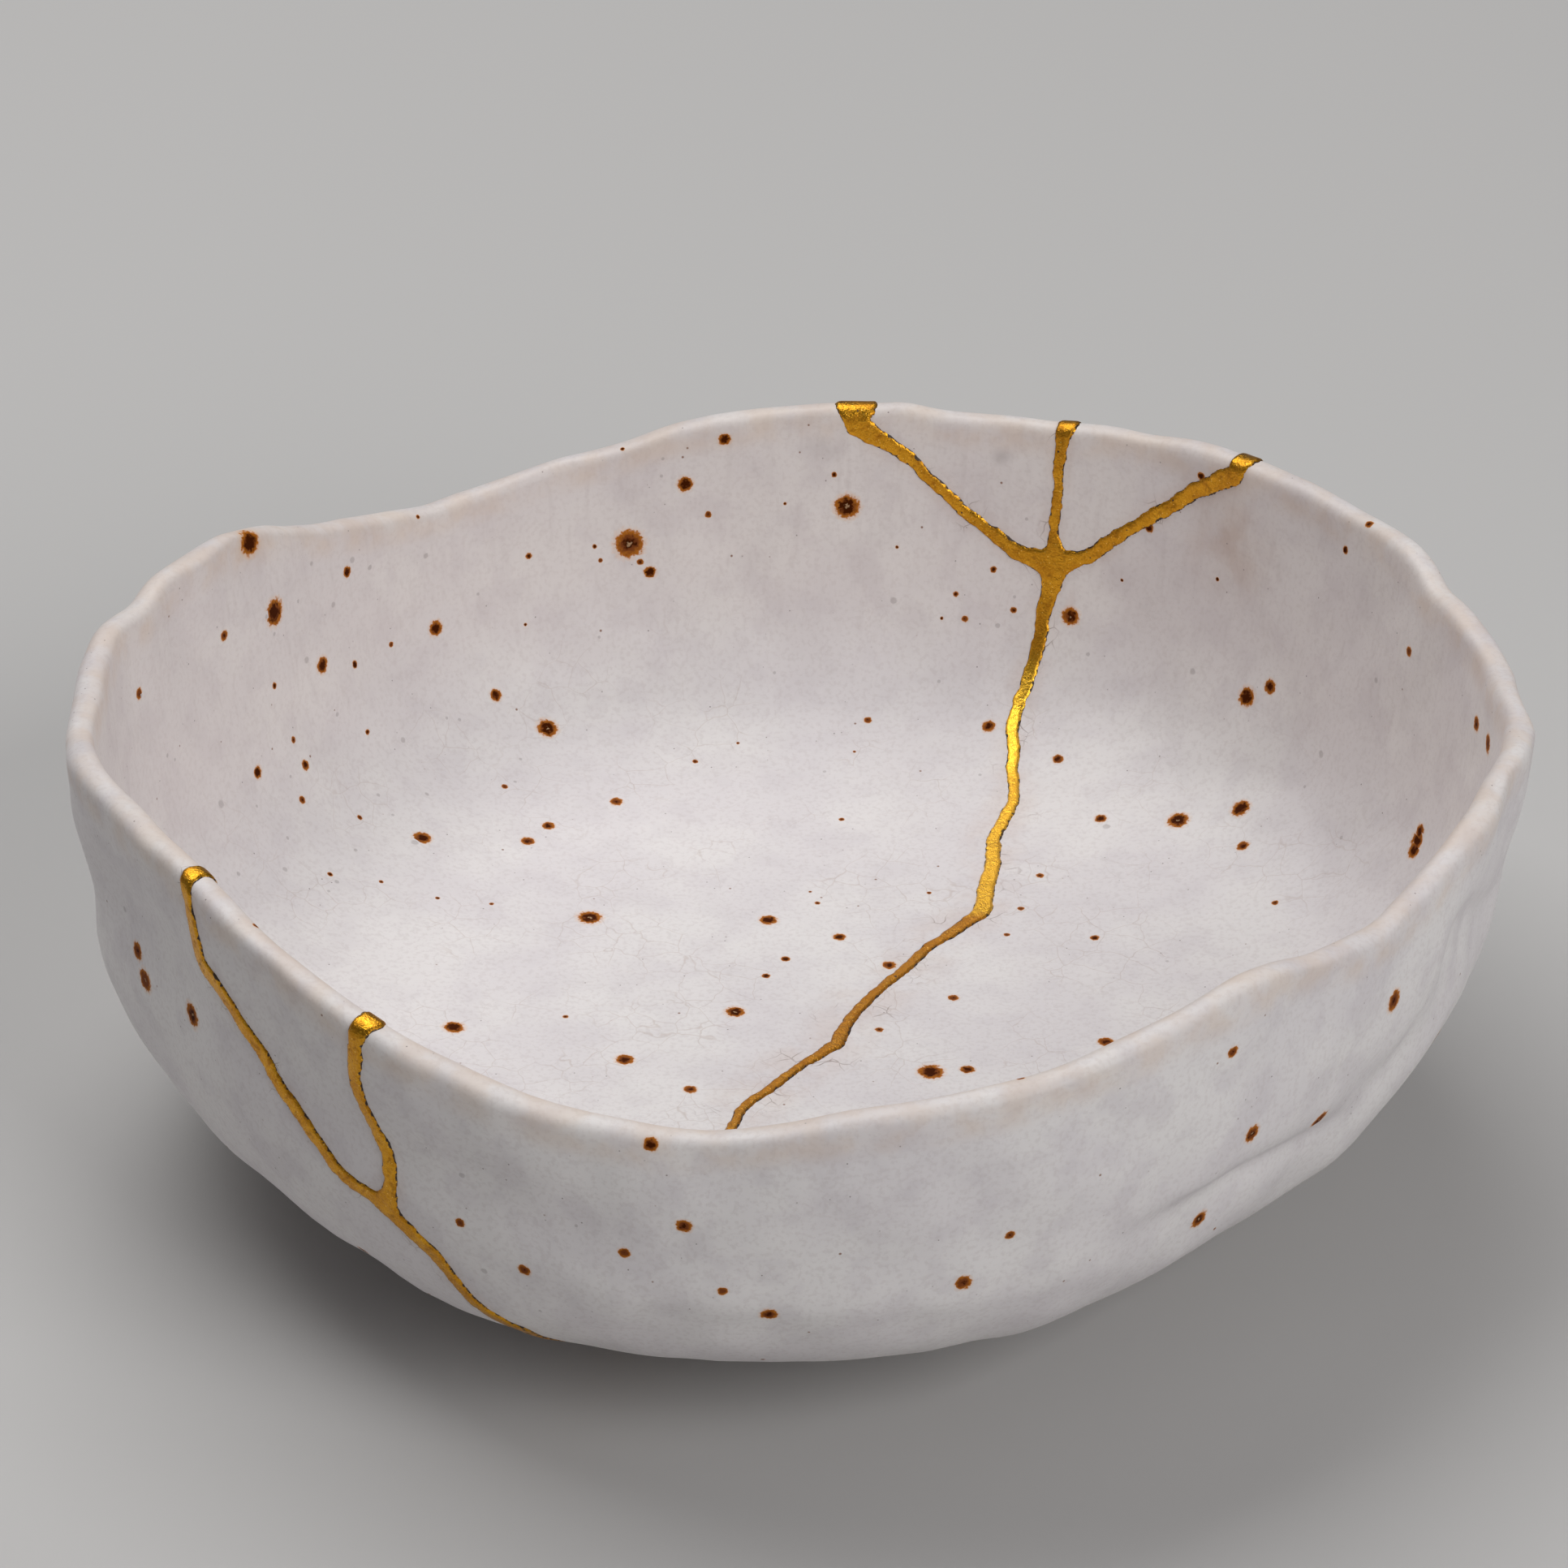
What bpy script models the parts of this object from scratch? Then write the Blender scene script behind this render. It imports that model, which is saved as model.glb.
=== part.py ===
"""A small tea bowl that was broken into five sherds and joined again with gold lacquer.

Metres, +Z up. The origin is on the ground under the middle of the rim, and -Y is the front.
A place on the bowl is a bearing, in degrees anticlockwise from +X seen from above, and a reach,
which is 0 at the bowl's axis and 1 at the rim, along the middle of the clay wall.
"""

import math

import bmesh
import bpy
import numpy as np
from mathutils import Vector
from mathutils.bvhtree import BVHTree

# The axis that the bowl was turned and pinched about stands this far behind the origin
AXIS_SHIFT = 0.0017
# Rim, measured to the middle of the wall
RIM_RADIUS = 0.0588
RIM_HEIGHT = 0.0378
# How far the hand-pinched rim leaves a circle: waves round the rim, size, bearing of a crest
RADIUS_WAVES = (
    (1, 0.0007, -95),
    (2, 0.0018, 56),
    (3, 0.0006, 28),
    (4, 0.0006, 8),
    (5, 0.0005, -18),
    (6, 0.0007, 1),
)
# How far it leaves a level line
HEIGHT_WAVES = (
    (2, 0.0024, 14),
    (3, 0.0017, -52),
    (5, 0.0010, 12),
    (6, 0.0007, -19),
    (7, 0.0006, -8),
    (9, 0.0004, -11),
    (10, 0.0003, 18),
)

# Small nips where the rim was left uneven: bearing, half width in degrees, lift, push outwards
RIM_NIPS = (
    (5, 4.0, 0.0, -0.0005),
    (22, 2.5, -0.0004, -0.0002),
    (29, 5.0, 0.0005, 0.0002),
    (63, 2.5, 0.0003, 0.0),
    (81.5, 2.5, 0.0004, 0.0),
    (102, 3.0, 0.0003, 0.0),
    (115, 4.0, 0.0002, 0.0),
    (141, 5.0, -0.0004, 0.0),
    (168, 2.5, -0.0004, -0.0003),
    (174, 2.5, 0.0003, 0.0002),
    (184.5, 5.0, 0.0, -0.0007),
    (199, 4.0, 0.0004, 0.0003),
    (210, 9.0, 0.0016, 0.0),
    (219, 7.0, 0.0010, 0.0),
    (231, 5.0, 0.0003, 0.0),
    (248, 11.0, 0.0014, 0.0),
    (256, 6.0, 0.0005, 0.0),
    (279, 13.0, 0.0015, 0.0),
    (293, 6.0, 0.0005, 0.0),
    (309, 10.0, 0.0012, 0.0),
    (341, 4.0, 0.0004, 0.0003),
)
# How fast the nips fade down the wall, as a power of the reach
NIP_FADE = 8

# Clay wall
RIM_THICKNESS = 0.0032
FLOOR_THICKNESS = 0.0046
WALL_LEAN = 0.0022
# How far the floor stays flat, as a share of the rim's radius, and the wall upright, of its rise
FLOOR_FLATNESS = 0.932
WALL_STEEPNESS = 0.94
# Thumb marks on the outside: bearing, reach, half length along the rim, half height, depth
THUMB_MARKS = (
    (349, 0.86, 0.010, 0.0050, 0.0008),
    (331, 0.80, 0.012, 0.0040, 0.0006),
    (314, 0.76, 0.012, 0.0035, 0.0009),
    (290, 0.82, 0.014, 0.0055, 0.0004),
    (262, 0.86, 0.013, 0.0060, 0.0005),
    (246, 0.90, 0.009, 0.0050, 0.0005),
    (229, 0.90, 0.008, 0.0060, 0.0005),
    (210, 0.90, 0.009, 0.0055, 0.0009),
    (190, 0.84, 0.012, 0.0050, 0.0006),
    (160, 0.78, 0.012, 0.0055, 0.0007),
    (132, 0.86, 0.012, 0.0050, 0.0006),
    (104, 0.76, 0.012, 0.0050, 0.0006),
    (76, 0.84, 0.012, 0.0050, 0.0005),
    (46, 0.78, 0.012, 0.0055, 0.0007),
    (17, 0.84, 0.012, 0.0050, 0.0006),
)

# Turned foot ring, and the well in it up to the floor's underside
FOOT_RADIUS = 0.0270
FOOT_WIDTH = 0.0050
FOOT_HEIGHT = 0.0040
FOOT_TAPER = 0.0008
FOOT_EDGE = 0.0005

# Gold seam
SEAM_PROUD = 0.0002
SEAM_GAP = 0.0003
# Where breaks meet, and the courses of the breaks: bearing, reach, width of the seam
JOIN_RADIUS = 0.0016
BACK_JOIN = (66.5, 0.840, 0.0016)
FRONT_JOIN = (238.7, 0.796, 0.0016)
BACK_LEFT_BREAK = (
    (70.3, 0.856, 0.0016),
    (73.0, 0.883, 0.0011),
    (76.9, 0.922, 0.0010),
    (79.9, 0.957, 0.0014),
    (83.0, 0.982, 0.0013),
    (85.6, 1.000, 0.0027),
)
BACK_MIDDLE_BREAK = (
    (66.6, 0.890, 0.0010),
    (66.9, 0.944, 0.0010),
    (66.8, 0.977, 0.0010),
    (66.2, 1.000, 0.0013),
)
BACK_RIGHT_BREAK = (
    (63.2, 0.862, 0.0014),
    (59.6, 0.908, 0.0013),
    (56.2, 0.946, 0.0012),
    (53.8, 0.968, 0.0014),
    (50.6, 0.990, 0.0018),
    (48.7, 1.000, 0.0022),
)
FLOOR_BREAK = (
    (66.4, 0.815, 0.0016),
    (66.8, 0.739, 0.0013),
    (67.1, 0.587, 0.0012),
    (66.8, 0.495, 0.0012),
    (64.4, 0.414, 0.0011),
    (61.8, 0.350, 0.0011),
    (60.7, 0.292, 0.0013),
    (53.6, 0.206, 0.0014),
    (48.2, 0.173, 0.0015),
    (47.0, 0.116, 0.0012),
    (33.2, 0.051, 0.0012),
    (358.7, 0.028, 0.0013),
    (311.8, 0.035, 0.0013),
    (276.5, 0.044, 0.0011),
    (254.0, 0.093, 0.0012),
    (253.0, 0.150, 0.0012),
    (250.0, 0.300, 0.0011),
    (251.5, 0.450, 0.0012),
    (248.4, 0.612, 0.0013),
    (244.6, 0.674, 0.0013),
    (242.5, 0.748, 0.0014),
)
FRONT_LEFT_BREAK = (
    (237.6, 0.798, 0.0014),
    (234.6, 0.804, 0.0014),
    (230.8, 0.840, 0.0014),
    (226.4, 0.893, 0.0014),
    (222.4, 0.930, 0.0014),
    (219.6, 0.948, 0.0015),
    (218.6, 1.000, 0.0013),
)
FRONT_RIGHT_BREAK = (
    (239.3, 0.834, 0.0013),
    (239.2, 0.878, 0.0013),
    (237.6, 0.926, 0.0013),
    (237.1, 0.960, 0.0014),
    (237.7, 1.000, 0.0016),
)
BREAKS = (
    (BACK_JOIN, *BACK_LEFT_BREAK),
    (BACK_JOIN, *BACK_MIDDLE_BREAK),
    (BACK_JOIN, *BACK_RIGHT_BREAK),
    (BACK_JOIN, *FLOOR_BREAK, FRONT_JOIN),
    (FRONT_JOIN, *FRONT_LEFT_BREAK),
    (FRONT_JOIN, *FRONT_RIGHT_BREAK),
)

# Each sherd and a place in it
SHERDS = {
    "sherd_left": (165, 0.6),
    "sherd_right": (345, 0.6),
    "sherd_back_rim_left": (76, 0.97),
    "sherd_back_rim_right": (58, 0.97),
    "sherd_front_rim": (229, 0.95),
}

# Fineness
SEGMENTS = 108
BELLY_RINGS = 9
INSIDE_RINGS = 9
RIM_RINGS = 4
JOIN_SIDES = 12
COURSE_STEP = 0.0040

FLOOR_MIDDLE = FOOT_HEIGHT + FLOOR_THICKNESS / 2
WALL_LENGTH = RIM_RADIUS + RIM_HEIGHT - FLOOR_MIDDLE


def waved(mean, waves, bearing):
    """The mean size plus each wave: size times the cosine of count times the angle from its crest."""
    total = np.full(np.shape(bearing), float(mean))
    for count, size, crest in waves:
        total += size * np.cos(count * (bearing - math.radians(crest)))
    return total


def turn_from(bearing, degrees):
    """The angle from a bearing in degrees, between minus and plus half a turn."""
    return np.mod(bearing - math.radians(degrees) + math.pi, 2 * math.pi) - math.pi


def nips(bearing, reach):
    """How far the nips push the wall out and lift it: a bell shape round each, strongest at the rim."""
    push = np.zeros(np.shape(bearing))
    lift = np.zeros(np.shape(bearing))
    for nip_bearing, half_width, nip_lift, nip_push in RIM_NIPS:
        bell = np.exp(-((turn_from(bearing, nip_bearing) / math.radians(half_width)) ** 2))
        push += nip_push * bell * reach**NIP_FADE
        lift += nip_lift * bell * reach**NIP_FADE
    return push, lift


def wall_line(bearing, reach):
    """Radius and height of the middle of the wall, and its outward normal in the upright plane.

    The line is a cubic Bezier curve from the middle of the floor to the rim.
    """
    rim = waved(RIM_RADIUS, RADIUS_WAVES, bearing)
    top = waved(RIM_HEIGHT, HEIGHT_WAVES, bearing)
    handle = WALL_STEEPNESS * (top - FLOOR_MIDDLE)
    radii = (0 * rim, FLOOR_FLATNESS * rim, rim - WALL_LEAN, rim)
    heights = (FLOOR_MIDDLE + 0 * top, FLOOR_MIDDLE + 0 * top, top - handle, top)
    back = 1 - reach
    shares = (back**3, 3 * back**2 * reach, 3 * back * reach**2, reach**3)
    slopes = (3 * back**2, 6 * back * reach, 3 * reach**2)
    push, lift = nips(bearing, reach)
    radius = push + sum(share * r for share, r in zip(shares, radii))
    height = lift + sum(share * z for share, z in zip(shares, heights))
    run = sum(s * (b - a) for s, a, b in zip(slopes, radii, radii[1:]))
    rise = sum(s * (b - a) for s, a, b in zip(slopes, heights, heights[1:]))
    length = np.hypot(run, rise)
    return radius, height, rise / length, -run / length


def thumb_depth(bearing, reach):
    """How deep the thumb marks press the outside in: a long bell shape round each mark."""
    depth = np.zeros(np.shape(bearing))
    for mark_bearing, mark_reach, half_length, half_height, mark_depth in THUMB_MARKS:
        along = RIM_RADIUS * turn_from(bearing, mark_bearing) / half_length
        up = WALL_LENGTH * (reach - mark_reach) / half_height
        depth += mark_depth * np.exp(-(along**2) - up**2)
    return depth


def placed(bearing, radius, height):
    """Points from bearing, radius and height."""
    height = height + 0 * bearing
    return np.stack([radius * np.cos(bearing), AXIS_SHIFT + radius * np.sin(bearing), height], -1)


def skin(bearing, reach, side, grow=0.0):
    """A point on the outside (side 1) or the inside (side -1) of the wall, grow outside the clay."""
    radius, height, out, up = wall_line(bearing, reach)
    half = (FLOOR_THICKNESS + (RIM_THICKNESS - FLOOR_THICKNESS) * reach) / 2
    offset = side * (half + grow)
    if side > 0:
        offset = offset - thumb_depth(bearing, reach)
    return placed(bearing, radius + offset * out, height + offset * up)


def rim_ring(bearing, angle, grow):
    """The rim is a half circle over the wall: angle 0 is outside, half a turn is inside."""
    radius, height, out, up = wall_line(bearing, np.ones(np.shape(bearing)))
    half = RIM_THICKNESS / 2 + grow
    across = half * math.cos(angle)
    if angle < math.pi / 2:
        across = across - math.cos(angle) * thumb_depth(bearing, 1.0)
    over = half * math.sin(angle)
    return placed(bearing, radius + across * out - over * up, height + across * up + over * out)


def foot_profile(grow):
    """Radius and height round the turned foot, from the well under the floor to the belly.

    The seam stops short of the ground by its own gap, so that the bowl stands on clay.
    """
    inner = FOOT_RADIUS - FOOT_WIDTH
    sole = SEAM_GAP if grow > 0 else 0.0
    return (
        (inner - FOOT_TAPER - grow, FOOT_HEIGHT - grow),
        (inner - grow, FOOT_EDGE + sole),
        (inner + FOOT_EDGE, sole),
        (FOOT_RADIUS - FOOT_EDGE, sole),
        (FOOT_RADIUS + grow, FOOT_EDGE + sole),
        (FOOT_RADIUS + FOOT_TAPER + grow, FOOT_HEIGHT - grow),
    )


def belly_start():
    """The reach at which the outside is clear of the foot."""
    reaches = np.linspace(0, 1, 201)
    radius = wall_line(np.zeros(201), reaches)[0]
    return float(np.interp(FOOT_RADIUS + FOOT_TAPER + FOOT_WIDTH / 2, radius, reaches))


def bowl_rings(grow):
    """The rings of the whole bowl, from its underside over the rim to the floor inside."""
    bearing = np.arange(SEGMENTS) * 2 * math.pi / SEGMENTS
    rings = [placed(bearing, radius, height) for radius, height in foot_profile(grow)]
    for reach in np.linspace(belly_start(), 1, BELLY_RINGS):
        rings.append(skin(bearing, reach + 0 * bearing, 1, grow))
    for step in range(1, RIM_RINGS):
        rings.append(rim_ring(bearing, math.pi * step / RIM_RINGS, grow))
    for reach in np.linspace(1, 0.12, INSIDE_RINGS):
        rings.append(skin(bearing, reach + 0 * bearing, -1, grow))
    return rings


def new_object(name, bm):
    """An object from a bmesh, shaded smooth but for its sharp edges."""
    mesh = bpy.data.meshes.new(name)
    bmesh.ops.recalc_face_normals(bm, faces=bm.faces)
    bm.to_mesh(mesh)
    bm.free()
    mesh.shade_smooth()
    mesh.set_sharp_from_angle(angle=math.radians(40))
    obj = bpy.data.objects.new(name, mesh)
    bpy.context.scene.collection.objects.link(obj)
    return obj


def bowl_mesh(grow=0.0):
    """The whole bowl as one closed mesh, grow outside the clay on every visible side."""
    bm = bmesh.new()
    rings = [[bm.verts.new(point) for point in ring] for ring in bowl_rings(grow)]
    for low, high in zip(rings, rings[1:]):
        for i in range(SEGMENTS):
            j = (i + 1) % SEGMENTS
            bm.faces.new((low[i], low[j], high[j], high[i]))
    well = bm.verts.new((0, AXIS_SHIFT, FOOT_HEIGHT - grow))
    floor = bm.verts.new(skin(np.zeros(1), np.zeros(1), -1, grow)[0])
    for i in range(SEGMENTS):
        j = (i + 1) % SEGMENTS
        bm.faces.new((well, rings[0][j], rings[0][i]))
        bm.faces.new((floor, rings[-1][i], rings[-1][j]))
    return bm


def course(points):
    """Bearing, reach and width at every few millimetres along a break, straight between its points."""
    rows = np.array(points, float)
    turn = np.radians(rows[:, 0])
    corners = np.stack([rows[:, 1] * np.cos(turn), rows[:, 1] * np.sin(turn), rows[:, 2]], -1)
    samples = [corners[:1]]
    for start, end in zip(corners, corners[1:]):
        length = math.hypot(*(end - start)[:2]) * WALL_LENGTH
        steps = max(1, math.ceil(length / COURSE_STEP))
        shares = np.arange(1, steps + 1)[:, None] / steps
        samples.append(start + shares * (end - start))
    flat = np.concatenate(samples)
    return np.arctan2(flat[:, 1], flat[:, 0]), np.hypot(flat[:, 0], flat[:, 1]), flat[:, 2]


def through_wall(bearing, reach):
    """Points beyond the clay on both sides of the wall: past the foot, and in the hollow."""
    inside = skin(bearing, reach, -1)
    outside = skin(bearing, reach, 1)
    out = outside - inside
    out /= np.linalg.norm(out, axis=-1, keepdims=True)
    return outside + out * (FOOT_HEIGHT + RIM_THICKNESS), inside - out * RIM_THICKNESS / 2


def add_ribbon(bm, points, widen):
    """An upright blade along a break, through the whole wall and out over the rim."""
    bearing, reach, width = course(points)
    outside, inside = through_wall(bearing, reach)
    middle = (outside + inside) / 2
    out = (outside - inside) / 2
    if points[-1][1] >= 1:
        middle = np.concatenate([middle, middle[-1:] + [0, 0, RIM_THICKNESS]])
        out = np.concatenate([out, out[-1:]])
        width = np.append(width, width[-1])
    across = np.cross(np.gradient(middle, axis=0), out)
    across *= (width / 2 + widen)[:, None] / np.linalg.norm(across, axis=-1, keepdims=True)
    corners = (out - across, out + across, across - out, -across - out)
    sections = np.stack([middle + corner for corner in corners], 1)
    rows = [[bm.verts.new(point) for point in section] for section in sections]
    for low, high in zip(rows, rows[1:]):
        for i in range(4):
            j = (i + 1) % 4
            bm.faces.new((low[i], low[j], high[j], high[i]))
    bm.faces.new(rows[0])
    bm.faces.new(rows[-1])


def add_join(bm, place, widen):
    """A round plug through the wall where breaks meet."""
    bearing, reach, _ = place
    outside, inside = through_wall(np.radians([bearing]), np.array([reach]))
    way = Vector(outside[0] - inside[0])
    plug = bmesh.ops.create_cone(
        bm,
        cap_ends=True,
        segments=JOIN_SIDES,
        radius1=JOIN_RADIUS + widen,
        radius2=JOIN_RADIUS + widen,
        depth=way.length,
    )
    bmesh.ops.rotate(bm, verts=plug["verts"], matrix=way.to_track_quat("Z", "Y").to_matrix())
    bmesh.ops.translate(bm, verts=plug["verts"], vec=(outside[0] + inside[0]) / 2)


def helper(name, bm):
    """An object that shapes others and isn't part of the bowl."""
    obj = new_object(name, bm)
    obj.hide_render = True
    obj.display_type = "WIRE"
    return obj


def breaks(name, widen):
    """Every break as a blade, each side widened: the seam's own body, or the cut that it sits in."""
    bm = bmesh.new()
    for points in BREAKS:
        add_ribbon(bm, points, widen)
    for place in (BACK_JOIN, FRONT_JOIN):
        add_join(bm, place, widen)
    return helper(name, bm)


def boolean(obj, operation, other):
    """Adds a Boolean with the exact solver, for a blade whose ribbons run through each other."""
    modifier = obj.modifiers.new(operation.lower(), "BOOLEAN")
    modifier.operation = operation
    modifier.solver = "EXACT"
    modifier.use_self = True
    modifier.object = other


def applied(obj):
    """A bmesh of the object with its modifiers applied."""
    bpy.context.view_layer.update()
    graph = bpy.context.evaluated_depsgraph_get()
    bm = bmesh.new()
    bm.from_object(obj, graph)
    return bm


def islands(bm):
    """The faces of each separate body in the mesh, in their order in the mesh."""
    seen = set()
    for first in bm.faces:
        if first in seen:
            continue
        seen.add(first)
        body = [first]
        for face in body:
            for edge in face.edges:
                for other in edge.link_faces:
                    if other not in seen:
                        seen.add(other)
                        body.append(other)
        yield body


def nearest_sherd(bm):
    """The name in SHERDS whose place lies nearest to this body."""
    tree = BVHTree.FromBMesh(bm)
    distances = {}
    for name, (bearing, reach) in SHERDS.items():
        place = skin(np.radians([float(bearing)]), np.array([reach]), 1)[0]
        distances[name] = tree.find_nearest(Vector(place))[3]
    return min(distances, key=distances.get)


def material(name, colour, roughness, metallic):
    """A plain Principled material."""
    made = bpy.data.materials.new(name)
    made.use_nodes = True
    shader = made.node_tree.nodes["Principled BSDF"]
    shader.inputs["Base Color"].default_value = (*colour, 1)
    shader.inputs["Roughness"].default_value = roughness
    shader.inputs["Metallic"].default_value = metallic
    return made


def make_sherds():
    """Cuts the bowl along its breaks, and makes each body that is left a sherd."""
    bowl = helper("bowl_before_breaking", bowl_mesh())
    boolean(bowl, "DIFFERENCE", breaks("cuts", SEAM_GAP))
    broken = applied(bowl)
    glaze = material("glazed_stoneware", (0.79, 0.765, 0.755), 0.35, 0.0)
    for body in islands(broken):
        sherd = bmesh.new()
        copies = {}
        for face in body:
            for vert in face.verts:
                if vert not in copies:
                    copies[vert] = sherd.verts.new(vert.co)
            sherd.faces.new([copies[vert] for vert in face.verts])
        new_object(nearest_sherd(sherd), sherd).data.materials.append(glaze)
    broken.free()


def make_seam():
    """The lacquer fills the breaks and stands a little proud of the clay on both sides."""
    seam = breaks("seam_before_trimming", 0.0)
    boolean(seam, "INTERSECT", helper("seam_limit", bowl_mesh(SEAM_PROUD)))
    gold = material("gold_lacquer", (0.83, 0.57, 0.16), 0.35, 1.0)
    new_object("gold_seam", applied(seam)).data.materials.append(gold)


def main():
    for obj in list(bpy.data.objects):
        bpy.data.objects.remove(obj)
    make_sherds()
    make_seam()


main()
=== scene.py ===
# %% [markdown]
# # A tea bowl mended with gold
#
# The object is a shallow, hand-pinched stoneware bowl, about 12 cm across, with an off-white satin
# glaze and brown iron spots. It once broke into five sherds. A mender glued them with lacquer,
# drew the joins over with more lacquer and dusted them with gold powder.
#
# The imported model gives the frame: six nodes, one for each sherd and one for the gold seam. Here
# each node gets a finer piece with the same form, and both get the finish of the real thing.

# %% Load the frame
import math

import bpy
import numpy as np
from mathutils import Matrix, Vector


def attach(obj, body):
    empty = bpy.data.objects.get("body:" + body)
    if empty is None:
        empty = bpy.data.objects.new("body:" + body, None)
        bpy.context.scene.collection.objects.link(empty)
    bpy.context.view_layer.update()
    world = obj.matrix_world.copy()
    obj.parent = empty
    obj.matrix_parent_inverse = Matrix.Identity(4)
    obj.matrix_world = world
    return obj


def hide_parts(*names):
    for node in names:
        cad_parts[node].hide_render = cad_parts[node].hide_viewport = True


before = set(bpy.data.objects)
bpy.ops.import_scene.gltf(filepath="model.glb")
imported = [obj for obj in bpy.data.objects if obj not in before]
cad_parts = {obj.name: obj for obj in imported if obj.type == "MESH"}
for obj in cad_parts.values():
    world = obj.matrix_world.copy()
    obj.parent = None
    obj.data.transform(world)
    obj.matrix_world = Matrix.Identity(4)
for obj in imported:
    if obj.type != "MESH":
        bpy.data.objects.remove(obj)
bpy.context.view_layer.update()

MM = 0.001
print("nodes:", sorted(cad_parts))

# %% [markdown]
# ## The camera
#
# The picture was taken from a little above the rim, looking down by about 29 degrees, with a long
# lens. A long lens could be guessed by eye, but the iron spots and the seam have to fall where the
# picture has them, so the lens, height and tilt are the ones that make the rim's outline fit.

# %% Camera at the photograph's viewing angle
PHOTO_PIXELS = 1932
FOCAL_PIXELS = 7067
SENSOR_WIDTH = 36.0
CAMERA_PLACE = (-0.00148, -0.41759, 0.26518)
LOOKS_DOWN = math.radians(29.13)
ROLL = math.radians(1.21)

camera_data = bpy.data.cameras.new("camera")
camera_data.sensor_width = SENSOR_WIDTH
camera_data.lens = SENSOR_WIDTH * FOCAL_PIXELS / PHOTO_PIXELS
camera = bpy.data.objects.new("camera", camera_data)
camera.matrix_world = (
    Matrix.Translation(CAMERA_PLACE)
    @ Matrix.Rotation(math.pi / 2 - LOOKS_DOWN, 4, "X")
    @ Matrix.Rotation(ROLL, 4, "Z")
)
bpy.context.scene.collection.objects.link(camera)
bpy.context.scene.camera = camera
print("lens:", round(camera_data.lens, 1), "mm")

# %% [markdown]
# ## The bowl's form
#
# A bowl like this is thrown or pinched from one lump, so its wall is one smooth skin on each side
# of a middle line. A lathe profile would give a perfect circle. Here every bearing has its own
# profile instead: a curve from the middle of the floor to the rim, whose end moves in and out and
# up and down as the real rim does. A place on the wall is a bearing and a reach, which is 0 on the
# axis and 1 at the rim. All sizes repeat the solid model's, so the pieces fit its nodes.

# %% Sizes of the bowl
AXIS_SHIFT = 1.7 * MM
RIM_RADIUS = 58.8 * MM
RIM_HEIGHT = 37.8 * MM
RIM_THICKNESS = 3.2 * MM
FLOOR_THICKNESS = 4.6 * MM
WALL_LEAN = 2.2 * MM
FLOOR_FLATNESS = 0.932
WALL_STEEPNESS = 0.94
FOOT_RADIUS = 27.0 * MM
FOOT_WIDTH = 5.0 * MM
FOOT_HEIGHT = 4.0 * MM
FOOT_TAPER = 0.8 * MM
FOOT_EDGE = 0.5 * MM
FLOOR_MIDDLE = FOOT_HEIGHT + FLOOR_THICKNESS / 2
WALL_LENGTH = RIM_RADIUS + RIM_HEIGHT - FLOOR_MIDDLE

# Waves round the rim: count, size, bearing of a crest
RADIUS_WAVES = (
    (1, 0.0007, -95),
    (2, 0.0018, 56),
    (3, 0.0006, 28),
    (4, 0.0006, 8),
    (5, 0.0005, -18),
    (6, 0.0007, 1),
)
HEIGHT_WAVES = (
    (2, 0.0024, 14),
    (3, 0.0017, -52),
    (5, 0.0010, 12),
    (6, 0.0007, -19),
    (7, 0.0006, -8),
    (9, 0.0004, -11),
    (10, 0.0003, 18),
)
# Nips in the rim: bearing, half width in degrees, lift, push outwards
RIM_NIPS = (
    (5, 4.0, 0.0, -0.0005),
    (22, 2.5, -0.0004, -0.0002),
    (29, 5.0, 0.0005, 0.0002),
    (63, 2.5, 0.0003, 0.0),
    (81.5, 2.5, 0.0004, 0.0),
    (102, 3.0, 0.0003, 0.0),
    (115, 4.0, 0.0002, 0.0),
    (141, 5.0, -0.0004, 0.0),
    (168, 2.5, -0.0004, -0.0003),
    (174, 2.5, 0.0003, 0.0002),
    (184.5, 5.0, 0.0, -0.0007),
    (199, 4.0, 0.0004, 0.0003),
    (210, 9.0, 0.0016, 0.0),
    (219, 7.0, 0.0010, 0.0),
    (231, 5.0, 0.0003, 0.0),
    (248, 11.0, 0.0014, 0.0),
    (256, 6.0, 0.0005, 0.0),
    (279, 13.0, 0.0015, 0.0),
    (293, 6.0, 0.0005, 0.0),
    (309, 10.0, 0.0012, 0.0),
    (341, 4.0, 0.0004, 0.0003),
)
NIP_FADE = 8
# Thumb marks on the outside: bearing, reach, half length along the rim, half height, depth
THUMB_MARKS = (
    (349, 0.86, 0.010, 0.0050, 0.0008),
    (331, 0.80, 0.012, 0.0040, 0.0006),
    (314, 0.76, 0.012, 0.0035, 0.0009),
    (290, 0.82, 0.014, 0.0055, 0.0004),
    (262, 0.86, 0.013, 0.0060, 0.0005),
    (246, 0.90, 0.009, 0.0050, 0.0005),
    (229, 0.90, 0.008, 0.0060, 0.0005),
    (210, 0.90, 0.009, 0.0055, 0.0009),
    (190, 0.84, 0.012, 0.0050, 0.0006),
    (160, 0.78, 0.012, 0.0055, 0.0007),
    (132, 0.86, 0.012, 0.0050, 0.0006),
    (104, 0.76, 0.012, 0.0050, 0.0006),
    (76, 0.84, 0.012, 0.0050, 0.0005),
    (46, 0.78, 0.012, 0.0055, 0.0007),
    (17, 0.84, 0.012, 0.0050, 0.0006),
)


# %% The middle line of the wall
def waved(mean, waves, bearing):
    """The mean plus each wave: size times the cosine of count times the angle from its crest."""
    total = np.full(np.shape(bearing), float(mean))
    for count, size, crest in waves:
        total += size * np.cos(count * (bearing - math.radians(crest)))
    return total


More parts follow.
